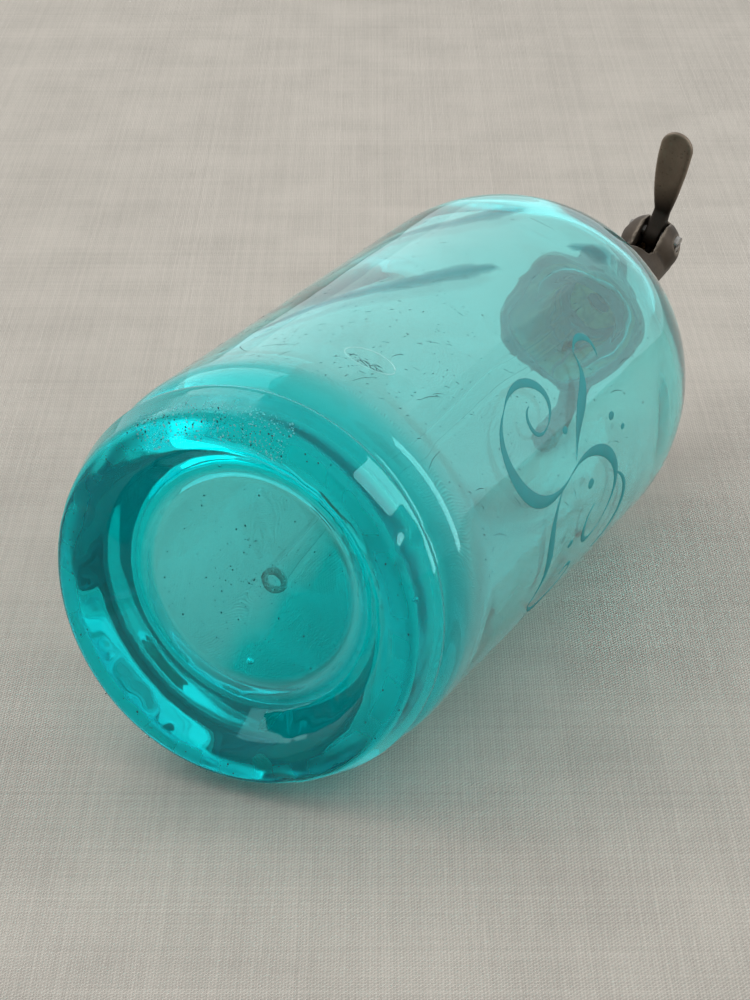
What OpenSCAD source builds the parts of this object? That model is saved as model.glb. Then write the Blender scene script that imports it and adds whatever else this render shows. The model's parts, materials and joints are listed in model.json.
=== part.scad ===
// Seltzer siphon bottle: thick blown and moulded glass, with a pewter dispensing head.
// Each module is drawn upright, foot down, with the bottle's axis on Z. The lever points to
// -Y and the spout to +Y. lay_down() then puts it on its side, where it rests on the glass
// and on the spout, with the foot towards -Y and the head towards +Y.

/* [Bottle] */
// Radius of the glass body
body_r = 51; // [40:0.5:62]
// Length of the straight part of the body
body_len = 139; // [100:1:180]
// Thickness of the body's wall
wall_t = 4.6; // [3:0.1:6]
// Thickness of glass between the foot's recess and the inside
floor_t = 8; // [5:0.5:12]
// Radius of the inside corner between floor and wall
floor_corner_r = 14; // [6:1:20]

/* [Foot] */
// Radius of the foot at its widest edge
foot_r = 50; // [39:0.5:61]
// Height of the foot's widest edge
foot_h = 10.5; // [8:0.5:14]
// Width of the flat band that the bottle stands on
foot_flat_w = 3; // [2:0.5:5]
// Radius of the foot's outer bottom edge
foot_edge_r = 2.9; // [2:0.1:4]
// How far the foot's side leans outwards, in degrees
foot_flare = 18; // [10:1:24]
// Radius of the foot's inner bottom edge
lip_r = 6.5; // [4:0.5:8]
// Slope of the recess wall from level, in degrees
recess_slope = 58; // [50:1:66]
// Depth of the ledge in the recess
recess_h = 10.4; // [8:0.2:13]
// Width of the ledge in the recess
ledge_w = 3.2; // [2:0.2:5]
// Rise of the centre disc above the ledge
disc_rise = 2.2; // [1:0.2:4]
// Height from the foot's edge to the middle of the waist
waist_h = 4; // [3.5:0.5:6]
// Depth of the waist, from the body's radius
waist_d = 3.8; // [2:0.2:6]
// Radius of the waist's hollow
waist_r = 3.5; // [2.5:0.5:5]
// Radius of the body's lower shoulder
heel_r = 12; // [8:1:18]

/* [Neck] */
// Outer radius of the glass neck
neck_r = 13; // [11:0.5:15]
// Thickness of the neck's wall
neck_wall = 3.6; // [3:0.1:4.6]
// Length of the plain neck, under its bead
neck_len = 5.2; // [5:0.2:8]
// Radius of the hollow between dome and neck
neck_fillet_r = 4; // [3:0.5:4]
// How far the bead round the mouth stands out from the neck
bead_out = 3; // [2.6:0.1:5]
// Height of the bead
bead_h = 6; // [5:0.5:8]
// Rounding of the bead's edges
bead_round = 1.4; // [0.8:0.2:2]

/* [Neck ring] */
// Thickness of the ring's wall round its thread
ring_wall = 2.6; // [2:0.2:4]
// Ledge on which the collet halves sit
ring_ledge = 1.1; // [0.8:0.1:1.5]
// Thickness of the ring's bottom flange
ring_flange_t = 2.5; // [2:0.5:3]
// How far the ring's thread reaches up past the head's bottom face
ring_grip = 4.5; // [3:0.5:6]
// Gap between the two collet halves
collet_split = 1; // [0.6:0.2:2]
// Thickness of the rubber gasket on the mouth
gasket_t = 2; // [1:0.5:3]

/* [Head] */
// How far the head's bottom flange is set back from the neck ring's edge
flange_set = 1.5; // [0.5:0.5:3]
// Thickness of the bottom flange
flange_t = 2.5; // [2:0.5:4]
// Radius of the column where it leaves the flange's cove
column_r = 9.6; // [9.4:0.2:11]
// Height of the cove, from flange to column
cove_h = 14; // [10:1:14]
// Height of the column's top above the head's bottom face
column_h = 57; // [56:1:60]
// Wall left round the cap's thread at the column's top
stub_wall = 1.15; // [1:0.05:1.6]
// Radius of the round fork that holds the lever
ball_r = 9.4; // [9.2:0.2:11]
// Distance of the fork's centre from the axis
ball_off = 5.2; // [4.6:0.2:6]
// Play of the lever on each side of its slot in the fork
slot_gap = 0.9; // [0.5:0.1:1.2]
// Depth of the slot under the lever's pin
slot_drop = 13; // [10:0.5:15]

/* [Spout] */
// Outer radius of the spout's arm
arm_r = 5; // [4.8:0.1:5.6]
// Radius of the channel through the spout
channel_r = 2.4; // [2:0.1:2.8]
// Height of the arm above the head's bottom face
arm_h = 18.5; // [18:0.5:19]
// Radius of the spout's bend
bend_r = 14; // [10:1:18]
// Length of the straight nozzle under the bend
nozzle_len = 18; // [14:1:26]
// How far the spout leans back, so that the jet clears the glass, in degrees
spout_tilt = 9; // [7:1:12]
// Radius of the nozzle's bead
tip_r = 5; // [4.8:0.1:5.6]
// Height of the nozzle's bead
tip_h = 3; // [2:0.5:5]
// How much thinner the nozzle is than its bead
tip_step = 0.5; // [0.3:0.1:0.8]

/* [Lever] */
// Distance of the lever's pin from the axis
pin_off = 9; // [8.6:0.2:9.6]
// Height of the lever's pin above the head's bottom face
pin_h = 50.5; // [50.5:0.5:51.5]
// Radius of the lever's pin
pin_r = 1.5; // [1.2:0.1:1.7]
// Radius of the pin's head
pin_head_r = 2.4; // [2:0.1:2.8]
// Radius of the lever's hub
hub_r = 3.8; // [3.2:0.1:3.9]
// Width of the hub and of the lever's neck
hub_w = 5.2; // [4.6:0.1:5.8]
// Length of the lever's neck, from its pin
lever_neck = 8; // [7:0.5:10]
// Reach of the lever's tip from the axis
lever_reach = 46.6; // [40:0.2:56]
// How far the tip lies below the pin
lever_drop = 11; // [9:0.5:12]
// Radius of the lever's long curve
lever_curve_r = 100; // [90:5:120]
// Slope of the tip, in degrees
lever_tip_slope = 10; // [8:1:12]
// Half of the thumb piece's width
thumb_r = 5.3; // [4.5:0.1:7]
// Thickness of the thumb piece
thumb_t = 2.2; // [1.8:0.1:2.8]
// Radius of the dish under the thumb piece
dish_r = 13; // [10:1:18]
// Depth of the dish
dish_d = 0.6; // [0.2:0.1:0.8]
// How far the lever can be pressed, in degrees
lever_travel = 14; // [8:1:14]

/* [Valve] */
// How much wider the socket in the head's bottom is than the valve chamber
socket_step = 0.9; // [0.6:0.1:1.4]
// Depth of the tube nut's thread in the socket
socket_grip = 5.5; // [4:0.5:6]
// Thickness of the fibre washer under the seat
seat_gasket_t = 1; // [0.6:0.2:1.2]
// Thickness of the valve seat
seat_t = 2.5; // [2:0.1:3]
// Height of the seat's nose
nose_h = 0.7; // [0.5:0.1:1]
// Radius of the hole through the seat
seat_hole_r = 2.2; // [2:0.1:2.4]
// Radius of the valve chamber
chamber_r = 5.6; // [5.5:0.1:5.8]
// Wall of the cup round the rubber valve washer
cup_wall = 0.8; // [0.6:0.1:1.2]
// Thickness of the valve washer
washer_t = 2.5; // [2:0.1:3]
// Way for the water between that cup and the chamber
cup_gap = 0.4; // [0.3:0.1:0.6]
// Height of the cup
cup_h = 4; // [3.5:0.5:5]
// Radius of the valve stem
stem_r = 3; // [2.8:0.1:3.2]
// Height of the stem's shoulder, above the pin
stem_top = 4; // [3.6:0.2:4.2]
// How much wider the bore above the chamber is
bore_step = 0.45; // [0.4:0.05:0.7]
// Height of the packing above the head's bottom face
packing_h = 22.5; // [22.5:0.5:24]
// Thickness of the packing ring
packing_t = 3; // [2:0.5:4]
// Height of the gland nut
gland_t = 5; // [4:0.5:5]
// Radius of the spring's wire
wire_r = 0.45; // [0.35:0.05:0.5]
// Mean radius of the spring
spring_r = 3.9; // [3.6:0.1:4]
// Turns of the spring
spring_turns = 4; // [3:0.5:4]
// Thickness of the plate under the spring
plate_t = 1.2; // [1:0.1:1.4]
// Height from the spring plate to the cap's roof
spring_room = 6.8; // [6.6:0.1:8]
// How far the cap's rim stands out from its thread
cap_rim = 0.65; // [0.5:0.05:1.4]
// Thickness of the cap's roof
cap_roof_t = 3; // [2:0.5:4]
// Thickness of the leather washer under the cap
cap_washer_t = 1; // [0.6:0.2:1.4]

/* [Dip tube] */
// Outer radius of the glass tube
tube_r = 3.4; // [3:0.1:3.6]
// Bore radius of the glass tube
tube_bore_r = 1.9; // [1.5:0.1:2.2]
// Gap between the tube's end and the bottle's floor
tube_end_gap = 6; // [4:0.5:12]
// Angle of the tube's long bend, in degrees
tube_bend = 4.4; // [1:0.2:6]
// Radius of the tube's long bend
tube_bend_r = 1500; // [1000:50:1700]
// Wall of the rubber sleeve round the tube
sleeve_wall = 1.8; // [1.4:0.1:2]
// Length of the rubber sleeve
sleeve_len = 7.5; // [6:0.5:8]
// Room between the tube nut and the neck's bore
nut_room = 1; // [0.5:0.1:1.6]
// Thickness of the tube nut's bottom lip
nut_lip_t = 1.5; // [1:0.1:2]

/* [Resting pose] */
// How far the lever leans from upright when the bottle lies down, in degrees
lie_angle = 16.8; // [5:0.2:30]

/* [Hidden] */
$fn = 96;
small_fn = 48;
thread_gap = 0.05;     // radial play of a screwed joint
fit_gap = 0.05;        // radial play of a running fit
press_gap = 0.02;      // radial play of a pin in its holes
rubber_gap = 0.02;     // radial play round a squeezed rubber part
cap_gap = 0.3;         // gap between the cap and the fork
collet_gap = 0.3;      // play of the collet halves on the neck and under the bead
ring_gap = 0.5;        // gap between the neck ring and the head's flange
valve_gap = 0.1;       // gap at the closed valve, where the rubber is squeezed
edge = 0.4;            // small chamfer
over = 1;              // how far a cut runs past the face that it opens

// Radii that follow from the wall thicknesses
neck_bore_r = neck_r - neck_wall;
bead_r = neck_r + bead_out;
tube_nut_r = neck_bore_r - nut_room;
socket_r = chamber_r + socket_step;
upper_bore_r = chamber_r + bore_step;
cup_r = chamber_r - cup_gap;
washer_r = cup_r - cup_wall;

// Heights along the bottle
waist_z = foot_h + waist_h;
waist_in_r = body_r - waist_d;
heel_z = waist_z + sqrt(pow(heel_r + waist_r, 2) - pow(heel_r + waist_r - waist_d, 2));
shoulder_z = heel_z + body_len;
fillet_z = shoulder_z + sqrt(pow(body_r + neck_fillet_r, 2) - pow(neck_r + neck_fillet_r, 2));
bead_z = fillet_z + neck_len;
mouth_z = bead_z + bead_h;
head_z = mouth_z + gasket_t;
pin_z = head_z + pin_h;
disc_z = recess_h + disc_rise;
inside_z = disc_z + floor_t;
inside_r = body_r - wall_t;

// Foot, from its side inwards
foot_side_r = foot_r - (foot_h - foot_edge_r * (1 - sin(foot_flare))) * tan(foot_flare);
foot_flat_r = foot_side_r - foot_edge_r * cos(foot_flare);
foot_in_r = foot_flat_r - foot_flat_w;
lip_in_r = foot_in_r - lip_r * sin(recess_slope);
lip_in_z = lip_r * (1 - cos(recess_slope));
ledge_out_r = lip_in_r - (recess_h - lip_in_z) / tan(recess_slope);
disc_r = ledge_out_r - ledge_w;
disc_step_w = 1.2;     // slope of the step between ledge and disc
foot_rim_r = 0.9;      // rounding of the foot's widest edge

// Neck ring
collet_in_r = neck_r + collet_gap;
ring_flange_r = bead_r + collet_gap;
ring_bore_r = ring_flange_r + ring_ledge;
ring_r = ring_bore_r + ring_wall;
flange_r = ring_r - flange_set;
collet_h = neck_len - collet_gap - edge;
collet_z = bead_z - collet_gap - collet_h;
ring_z = collet_z - ring_flange_t;
ring_top_z = head_z + ring_grip;
ring_notch_w = 5;      // width of the spanner notches
ring_notch_d = 1.6;    // depth of the spanner notches

// Head, above its bottom face
flange_h = ring_grip + ring_gap;
cove_top_h = flange_h + flange_t + cove_h;
cap_bore_r = upper_bore_r + 0.2;
cap_r = cap_bore_r + cap_rim;
slot_w = hub_w + 2 * slot_gap;
stub_r = cap_bore_r + stub_wall;
seat_h = socket_grip + seat_gasket_t;
chamber_h = seat_h + seat_t;
gland_h = packing_h + packing_t;
slot_top_h = column_h - 1.3;

// Spout: its mouth lies on the surface that carries the body
tip_drop = tip_r * sqrt(1 - pow(cos(lie_angle) * sin(spout_tilt), 2));
spout_reach = (body_r - tip_drop) / cos(lie_angle);
arm_len = (spout_reach - (bend_r + nozzle_len) * sin(spout_tilt)) / cos(spout_tilt) - bend_r;

// Valve, above the head's bottom face
washer_h = chamber_h + nose_h + valve_gap;
cup_lip_h = washer_h + washer_t * 0.3;
cup_top_h = cup_lip_h + cup_h;
plate_h = pin_h + stem_top;
roof_h = plate_h + plate_t + spring_room;
cap_top_h = roof_h + cap_roof_t;
cap_skirt_h = column_h + cap_washer_t - 4.1;
cap_room_r = cap_bore_r - thread_gap - 0.9;
spigot_r = 1.6;        // top of the stem, inside the spring
spigot_h = 3.4;
screw_r = 0.9;         // shank of the washer's screw
screw_head_r = 1.7;
screw_head_t = 1;
screw_grip = 1.8;
finger_r = 1.1;        // rounded end of the lever's inner finger
finger_w = 2.2;
window_w = finger_w + 0.6;
window_up = finger_r + fit_gap;
window_down = finger_r + (pin_off + stem_r) * (1 - cos(lever_travel)) + stem_r * tan(lever_travel) + 0.3;
nut_bottom_h = sleeve_len - socket_grip + nut_lip_t - 3.5;
sleeve_r = tube_r + sleeve_wall;

// Lever's long curve, in the plane of the lever: distance from the axis, and height
curve_l = lever_reach + lever_curve_r * sin(lever_tip_slope);
curve_z = pin_z - lever_drop + lever_curve_r * cos(lever_tip_slope);
thumb_l = lever_reach - thumb_r;
neck_l = pin_off + lever_neck;
thumb_side_r = (pow(thumb_l - neck_l, 2) + pow(thumb_r - hub_w / 2, 2)) / (2 * (thumb_r - hub_w / 2));
dish_l = thumb_l - thumb_r;
dish_slope = asin((curve_l - dish_l) / lever_curve_r);
pin_end = sqrt(pow(ball_r, 2) - pow(pin_off - ball_off, 2)) - 0.4;
pin_head_t = 1.4;
spot_depth = 1;        // how far the pin's head is let into the fork

// Dip tube
tube_top_h = socket_grip - 3.5;
tube_bend_z = inside_z + tube_end_gap + tube_bend_r * sin(tube_bend);

total_h = head_z + cap_top_h;

// Points of an arc round [x, y], from angle a0 to a1, in n steps
function arc(x, y, r, a0, a1, n) =
    [for (i = [0:n]) let (a = a0 + (a1 - a0) * i / n) [x + r * cos(a), y + r * sin(a)]];

// From the upright drawing to the bottle on its side, with its lowest line at z = 0
module lay_down() {
    translate([0, -total_h / 2, body_r]) rotate([-90, 0, 0]) rotate([0, 0, lie_angle]) children();
}

// A ring or disc from height z, with outer radius r and bore b
module ring(z, h, r, b = 0) {
    translate([0, 0, z]) difference() {
        cylinder(h = h, r = r);
        if (b > 0) translate([0, 0, -over]) cylinder(h = h + 2 * over, r = b);
    }
}

// Outside of the bottle in section, from the centre of its base to its mouth
function bottle_outside() =
    let (meet = acos((heel_r + waist_r - waist_d) / (heel_r + waist_r)),
         lean = acos((neck_r + neck_fillet_r) / (body_r + neck_fillet_r)))
    concat(
        [[0, disc_z], [disc_r - disc_step_w, disc_z], [disc_r, recess_h], [ledge_out_r, recess_h]],
        arc(foot_in_r, lip_r, lip_r, -90 - recess_slope, -90, 8),
        arc(foot_flat_r, foot_edge_r, foot_edge_r, -90, -foot_flare, 6),
        arc(foot_r - foot_rim_r, foot_h, foot_rim_r, -foot_flare, 70, 4),
        arc(waist_in_r + waist_r, waist_z, waist_r, 250, 180 - meet, 8),
        arc(body_r - heel_r, heel_z, heel_r, -meet, 0, 8),
        arc(0, shoulder_z, body_r, 0, lean, 24),
        arc(neck_r + neck_fillet_r, fillet_z, neck_fillet_r, 180 + lean, 180, 8),
        [[neck_r, bead_z]],
        arc(bead_r - bead_round, bead_z + bead_round, bead_round, -90, 0, 4),
        arc(bead_r - bead_round, mouth_z - bead_round, bead_round, 0, 90, 4)
    );

// Inside of the bottle in section, from its mouth to the centre of its floor
function bottle_inside() =
    let (lean = acos(neck_bore_r / inside_r))
    concat(
        [[neck_bore_r, mouth_z], [neck_bore_r, shoulder_z + inside_r * sin(lean) + edge]],
        arc(0, shoulder_z, inside_r, lean, 0, 24),
        arc(inside_r - floor_corner_r, inside_z + floor_corner_r, floor_corner_r, 0, -90, 8),
        [[0, inside_z]]
    );

module glass_bottle() {
    color("lightseagreen", 0.6)
        rotate_extrude() polygon(concat(bottle_outside(), bottle_inside()));
}

// Bar of radius r along the dip tube: its long bend and its straight upper part
module tube_bar(r, ends) {
    top_z = head_z + tube_top_h;
    translate([0, 0, tube_bend_z]) cylinder(h = top_z - tube_bend_z + ends, r = r, $fn = small_fn);
    translate([0, tube_bend_r, tube_bend_z]) rotate([-90, 0, 0]) rotate([0, 90, 0])
        rotate_extrude(angle = tube_bend + ends / 10, $fn = 4 * $fn)
            translate([tube_bend_r, 0]) circle(r = r, $fn = small_fn);
}

// Glass tube with a long slight bend, whose end hangs to the side that lies lowest
module dip_tube() {
    color("paleturquoise") rotate([0, 0, -lie_angle]) difference() {
        tube_bar(tube_r, 0);
        tube_bar(tube_bore_r, over);
    }
}

// Rubber sleeve that grips the top of the dip tube
module tube_sleeve() {
    color("dimgray") ring(head_z + tube_top_h - sleeve_len, sleeve_len, sleeve_r, tube_r + rubber_gap);
}

// Brass nut that holds the sleeve and the tube up in the head
module tube_nut() {
    bottom = head_z + tube_top_h - sleeve_len - nut_lip_t;
    color("darkgoldenrod") difference() {
        union() {
            ring(bottom, head_z - bottom, tube_nut_r);
            ring(head_z - over, socket_grip + over, socket_r - thread_gap);
        }
        translate([0, 0, bottom - over]) cylinder(h = head_z - bottom + socket_grip + 2 * over, r = tube_r + collet_gap);
        translate([0, 0, bottom + nut_lip_t]) cylinder(h = sleeve_len, r = sleeve_r + rubber_gap);
    }
}

// Rubber gasket between the glass mouth and the head
module neck_gasket() {
    color("dimgray") ring(mouth_z, gasket_t, bead_r - bead_round, tube_nut_r + rubber_gap);
}

// One half of the split collet under the bead, on the side given by 1 or -1
module collet_half(side) {
    color("darkgoldenrod") intersection() {
        ring(collet_z, collet_h, ring_bore_r - thread_gap - press_gap, collet_in_r);
        translate([side * (ring_bore_r + collet_split) / 2, 0, collet_z + collet_h / 2])
            cube([ring_bore_r, 2 * ring_bore_r, collet_h + 2 * over], center = true);
    }
}

// Threaded pewter ring that draws the head down on the gasket
module neck_ring() {
    color("rosybrown") difference() {
        translate([0, 0, ring_z]) rotate_extrude() polygon([
            [ring_flange_r, 0], [ring_r - edge, 0], [ring_r, edge],
            [ring_r, ring_top_z - ring_z - edge], [ring_r - edge, ring_top_z - ring_z],
            [ring_bore_r, ring_top_z - ring_z], [ring_bore_r, ring_flange_t],
            [ring_flange_r, ring_flange_t]]);
        for (turn = [0:90:270]) rotate([0, 0, turn])
            translate([ring_r - ring_notch_d / 2 + over / 2, 0, ring_z])
                cube([ring_notch_d + over, ring_notch_w, 2 * ring_flange_t], center = true);
    }
}

// Outside of the head's column in section, above its bottom face
function column_section() = concat(
    [[0, 0], [ring_bore_r - thread_gap, 0], [ring_bore_r - thread_gap, flange_h],
     [flange_r, flange_h], [flange_r, flange_h + flange_t]],
    [for (i = [0:8]) let (t = 90 * i / 8)
        [column_r + (flange_r - edge - column_r) * (1 - sin(t)),
         flange_h + flange_t + edge + (cove_h - edge) * (1 - cos(t))]],
    [[stub_r, column_h], [0, column_h]]);

// Places children in the spout's own frame: the arm runs along Y, the nozzle points to -Z
module at_spout() {
    translate([0, 0, arm_h]) rotate([spout_tilt, 0, 0]) children();
}

// Arm, bend and nozzle of the spout, as a round bar of radius r that runs past the mouth
module spout_bar(r, past) {
    rotate([-90, 0, 0]) cylinder(h = arm_len, r = r);
    translate([0, arm_len, -bend_r]) rotate([90, 0, 90])
        rotate_extrude(angle = 90) translate([bend_r, 0]) circle(r = r, $fn = small_fn);
    translate([0, arm_len + bend_r, -bend_r - nozzle_len - past]) cylinder(h = nozzle_len + past, r = r);
}

// Pewter casting: skirt, column, round fork and spout
module head_body() {
    color("rosybrown") translate([0, 0, head_z]) difference() {
        union() {
            rotate_extrude() polygon(column_section());
            at_spout() {
                spout_bar(arm_r - tip_step, 0);
                rotate([-90, 0, 0]) cylinder(h = column_r + 3, r = arm_r);
                translate([0, arm_len + bend_r, -bend_r - nozzle_len]) cylinder(h = tip_h, r = tip_r);
            }
            difference() {
                translate([0, -ball_off, pin_h]) sphere(r = ball_r);
                translate([0, 0, column_h]) cylinder(h = ball_r, r = cap_r + cap_gap);
            }
        }
        // Valve bores, from the bottom up
        translate([0, 0, -over]) cylinder(h = chamber_h + over, r = socket_r);
        cylinder(h = packing_h, r = chamber_r);
        translate([0, 0, packing_h]) cylinder(h = column_h, r = upper_bore_r);
        translate([0, 0, cap_skirt_h - 0.2]) cylinder(h = column_h, r = cap_bore_r);
        // Channel of the spout
        at_spout() spout_bar(channel_r, over);
        // Slot and pin holes of the fork
        translate([-slot_w / 2, -pin_off - 2 * ball_r, pin_h - slot_drop])
            cube([slot_w, pin_off + 2 * ball_r, slot_top_h - pin_h + slot_drop]);
        translate([-2 * ball_r, -pin_off, pin_h]) rotate([0, 90, 0])
            cylinder(h = 4 * ball_r, r = pin_r + press_gap);
        translate([pin_end - spot_depth, -pin_off, pin_h]) rotate([0, 90, 0])
            cylinder(h = ball_r, r = pin_head_r + press_gap);
    }
}

// Fibre washer between the tube nut and the valve seat
module seat_gasket() {
    color("saddlebrown") ring(head_z + socket_grip, seat_gasket_t, socket_r - thread_gap, seat_hole_r);
}

// Brass seat with a raised nose round its hole
module valve_seat() {
    color("goldenrod") {
        ring(head_z + seat_h, seat_t, socket_r - press_gap, seat_hole_r);
        ring(head_z + seat_h + seat_t, nose_h, seat_hole_r + 1, seat_hole_r);
    }
}

// Rubber disc that closes the seat
module valve_washer() {
    color("dimgray") ring(head_z + washer_h, washer_t, washer_r - rubber_gap, screw_r + rubber_gap);
}

// Screw that holds the rubber disc in the stem's cup
module washer_screw() {
    color("goldenrod") {
        ring(head_z + washer_h - screw_head_t, screw_head_t, screw_head_r);
        ring(head_z + washer_h, washer_t + screw_grip, screw_r);
    }
}

// Brass stem: cup below, window for the lever, spigot for the spring plate
module valve_stem() {
    color("goldenrod") translate([0, 0, head_z]) difference() {
        union() {
            translate([0, 0, cup_lip_h]) cylinder(h = cup_h, r = cup_r);
            translate([0, 0, cup_lip_h]) cylinder(h = plate_h - cup_lip_h, r = stem_r);
            translate([0, 0, plate_h]) cylinder(h = spigot_h, r = spigot_r);
        }
        translate([0, 0, cup_lip_h - over]) cylinder(h = washer_h + washer_t - cup_lip_h + over, r = washer_r);
        translate([0, 0, washer_h]) cylinder(h = washer_t + screw_grip + 0.2, r = screw_r + press_gap);
        translate([-window_w / 2, -2 * stem_r, pin_h - window_down])
            cube([window_w, 4 * stem_r, window_down + window_up]);
    }
}

// Packing round the stem, above the valve chamber
module packing_ring() {
    color("tan") ring(head_z + packing_h, packing_t, upper_bore_r - rubber_gap, stem_r + fit_gap);
}

// Nut that squeezes the packing
module gland_nut() {
    color("darkgoldenrod") difference() {
        ring(head_z + gland_h, gland_t, upper_bore_r - thread_gap, stem_r + fit_gap);
        translate([-upper_bore_r - over, -0.8, head_z + gland_h + gland_t - 1.5])
            cube([2 * (upper_bore_r + over), 1.6, 2 * over]);
    }
}

// Plate screwed on the stem's top, under the spring
module spring_plate() {
    color("goldenrod") ring(head_z + plate_h, plate_t, spring_r + wire_r + 0.3, spigot_r + press_gap);
}

// Spring that keeps the valve shut: a wire of 8 sides along a helix
module valve_spring() {
    sides = 8;
    steps = 24;
    last = spring_turns * steps;
    low = head_z + plate_h + plate_t + wire_r;
    rise = spring_room - 2 * wire_r - 0.02;
    points = [for (i = [0:last], j = [0:sides - 1])
        let (a = 360 * i / steps, b = 360 * j / sides, r = spring_r + wire_r * cos(b))
        [r * cos(a), r * sin(a), low + 0.01 + rise * i / last + wire_r * sin(b)]];
    walls = [for (i = [0:last - 1], j = [0:sides - 1])
        let (k = (j + 1) % sides)
        [i * sides + j, i * sides + k, (i + 1) * sides + k, (i + 1) * sides + j]];
    first_end = [for (j = [sides - 1:-1:0]) j];
    last_end = [for (j = [0:sides - 1]) last * sides + j];
    color("silver") polyhedron(points, concat(walls, [first_end], [last_end]));
}

// Leather washer under the cap
module cap_washer() {
    color("saddlebrown") ring(head_z + column_h, cap_washer_t, stub_r - edge, cap_bore_r);
}

// Pewter cap over the spring, screwed into the column
module spring_cap() {
    seat = column_h + cap_washer_t;
    color("rosybrown") translate([0, 0, head_z]) difference() {
        rotate_extrude() polygon(concat(
            [[0, cap_skirt_h], [cap_bore_r - thread_gap, cap_skirt_h], [cap_bore_r - thread_gap, seat],
             [cap_r, seat], [cap_r, seat + 2]],
            [for (p = arc(0, seat + 2, 1, 0, 90, 8))
                [(p[0]) * (cap_r - edge), seat + 2 + (p[1] - seat - 2) * (cap_top_h - seat - 2)]]));
        translate([0, 0, cap_skirt_h - over]) cylinder(h = roof_h - cap_skirt_h + over, r = cap_room_r);
    }
}

// Height of the blade's curve of radius r, at distance l from the axis
function curve_at(l, r) = curve_z - sqrt(pow(r, 2) - pow(curve_l - l, 2));

// Plan of the lever: neck, sides that swell to the thumb piece, and its round end
module lever_plan() {
    inset = thumb_side_r - thumb_r;
    translate([thumb_l, 0]) circle(r = thumb_r);
    translate([0, -hub_w / 2]) square([neck_l + 1, hub_w]);
    intersection() {
        translate([thumb_l, inset]) circle(r = thumb_side_r, $fn = 4 * $fn);
        translate([thumb_l, -inset]) circle(r = thumb_side_r, $fn = 4 * $fn);
        translate([neck_l, -thumb_r]) square([thumb_l - neck_l, 2 * thumb_r]);
    }
}

// Side of the lever: a root that spreads over the hub, and a blade along the long curve
module lever_side() {
    steps = 20;
    reach = lever_reach + 1;
    polygon(concat(
        [[pin_off, pin_z + hub_r]],
        [for (i = [0:steps]) let (l = neck_l + (reach - neck_l) * i / steps) [l, curve_at(l, lever_curve_r - thumb_t)]],
        [for (i = [steps:-1:0]) let (l = neck_l + (reach - neck_l) * i / steps) [l, curve_at(l, lever_curve_r)]],
        [[pin_off, pin_z - hub_r]]
    ));
}

// Lever: hub on the pin, finger into the stem, and a dished thumb piece
module lever() {
    color("dimgray") rotate([0, 0, -90]) difference() {
        union() {
            intersection() {
                translate([0, 0, pin_z - 3 * lever_drop]) linear_extrude(6 * lever_drop) lever_plan();
                rotate([90, 0, 0]) linear_extrude(4 * thumb_r, center = true) lever_side();
            }
            translate([pin_off, 0, pin_z]) rotate([90, 0, 0])
                cylinder(h = hub_w, r = hub_r, center = true);
            translate([0, -finger_w / 2, pin_z - finger_r]) cube([pin_off, finger_w, 2 * finger_r]);
            translate([0, 0, pin_z]) rotate([90, 0, 0])
                cylinder(h = finger_w, r = finger_r, center = true, $fn = small_fn);
        }
        translate([pin_off, 0, pin_z]) rotate([90, 0, 0])
            cylinder(h = 2 * hub_w, r = pin_r + fit_gap, center = true, $fn = small_fn);
        // Dish under the thumb piece, which runs out at both ends as the blade curves away
        translate([dish_l, 0, curve_at(dish_l, lever_curve_r)]) rotate([0, dish_slope, 0])
            translate([0, 0, dish_d - dish_r]) rotate([0, 90, 0])
                cylinder(h = 8 * thumb_r, r = dish_r, center = true);
    }
}

// Pin of the lever, with a slotted head let into the fork
module lever_pin() {
    color("silver") translate([0, -pin_off, pin_z]) rotate([0, 90, 0]) difference() {
        union() {
            translate([0, 0, -pin_end]) cylinder(h = 2 * pin_end, r = pin_r, $fn = small_fn);
            translate([0, 0, pin_end - spot_depth]) cylinder(h = pin_head_t, r = pin_head_r, $fn = small_fn);
        }
        translate([-pin_head_r - over, -0.3, pin_end - spot_depth + pin_head_t - 0.6])
            cube([2 * (pin_head_r + over), 0.6, 2 * over]);
    }
}

lay_down() glass_bottle();
lay_down() dip_tube();
lay_down() tube_sleeve();
lay_down() tube_nut();
lay_down() neck_gasket();
lay_down() collet_half(-1);  // collet_half_left
lay_down() collet_half(1);  // collet_half_right
lay_down() neck_ring();
lay_down() head_body();
lay_down() seat_gasket();
lay_down() valve_seat();
lay_down() valve_washer();
lay_down() washer_screw();
lay_down() valve_stem();
lay_down() packing_ring();
lay_down() gland_nut();
lay_down() spring_plate();
lay_down() valve_spring();
lay_down() cap_washer();
lay_down() spring_cap();
lay_down() lever();
lay_down() lever_pin();
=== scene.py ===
"""Antique siphon bottle: glass, pewter head and stage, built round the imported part.

Every piece is in metres in the part's own frame: the bottle lies along +Y with its foot at -Y,
and it rests on the plane z = 0. "Angle" is measured round the bottle's axis from straight up
towards +X, and "height" along the axis from the foot's standing edge.
"""

import json
import math

import bmesh
import bpy
import numpy as np
from bpy.props import FloatProperty, FloatVectorProperty, IntProperty, PointerProperty
from mathutils import Matrix, Vector


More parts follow.
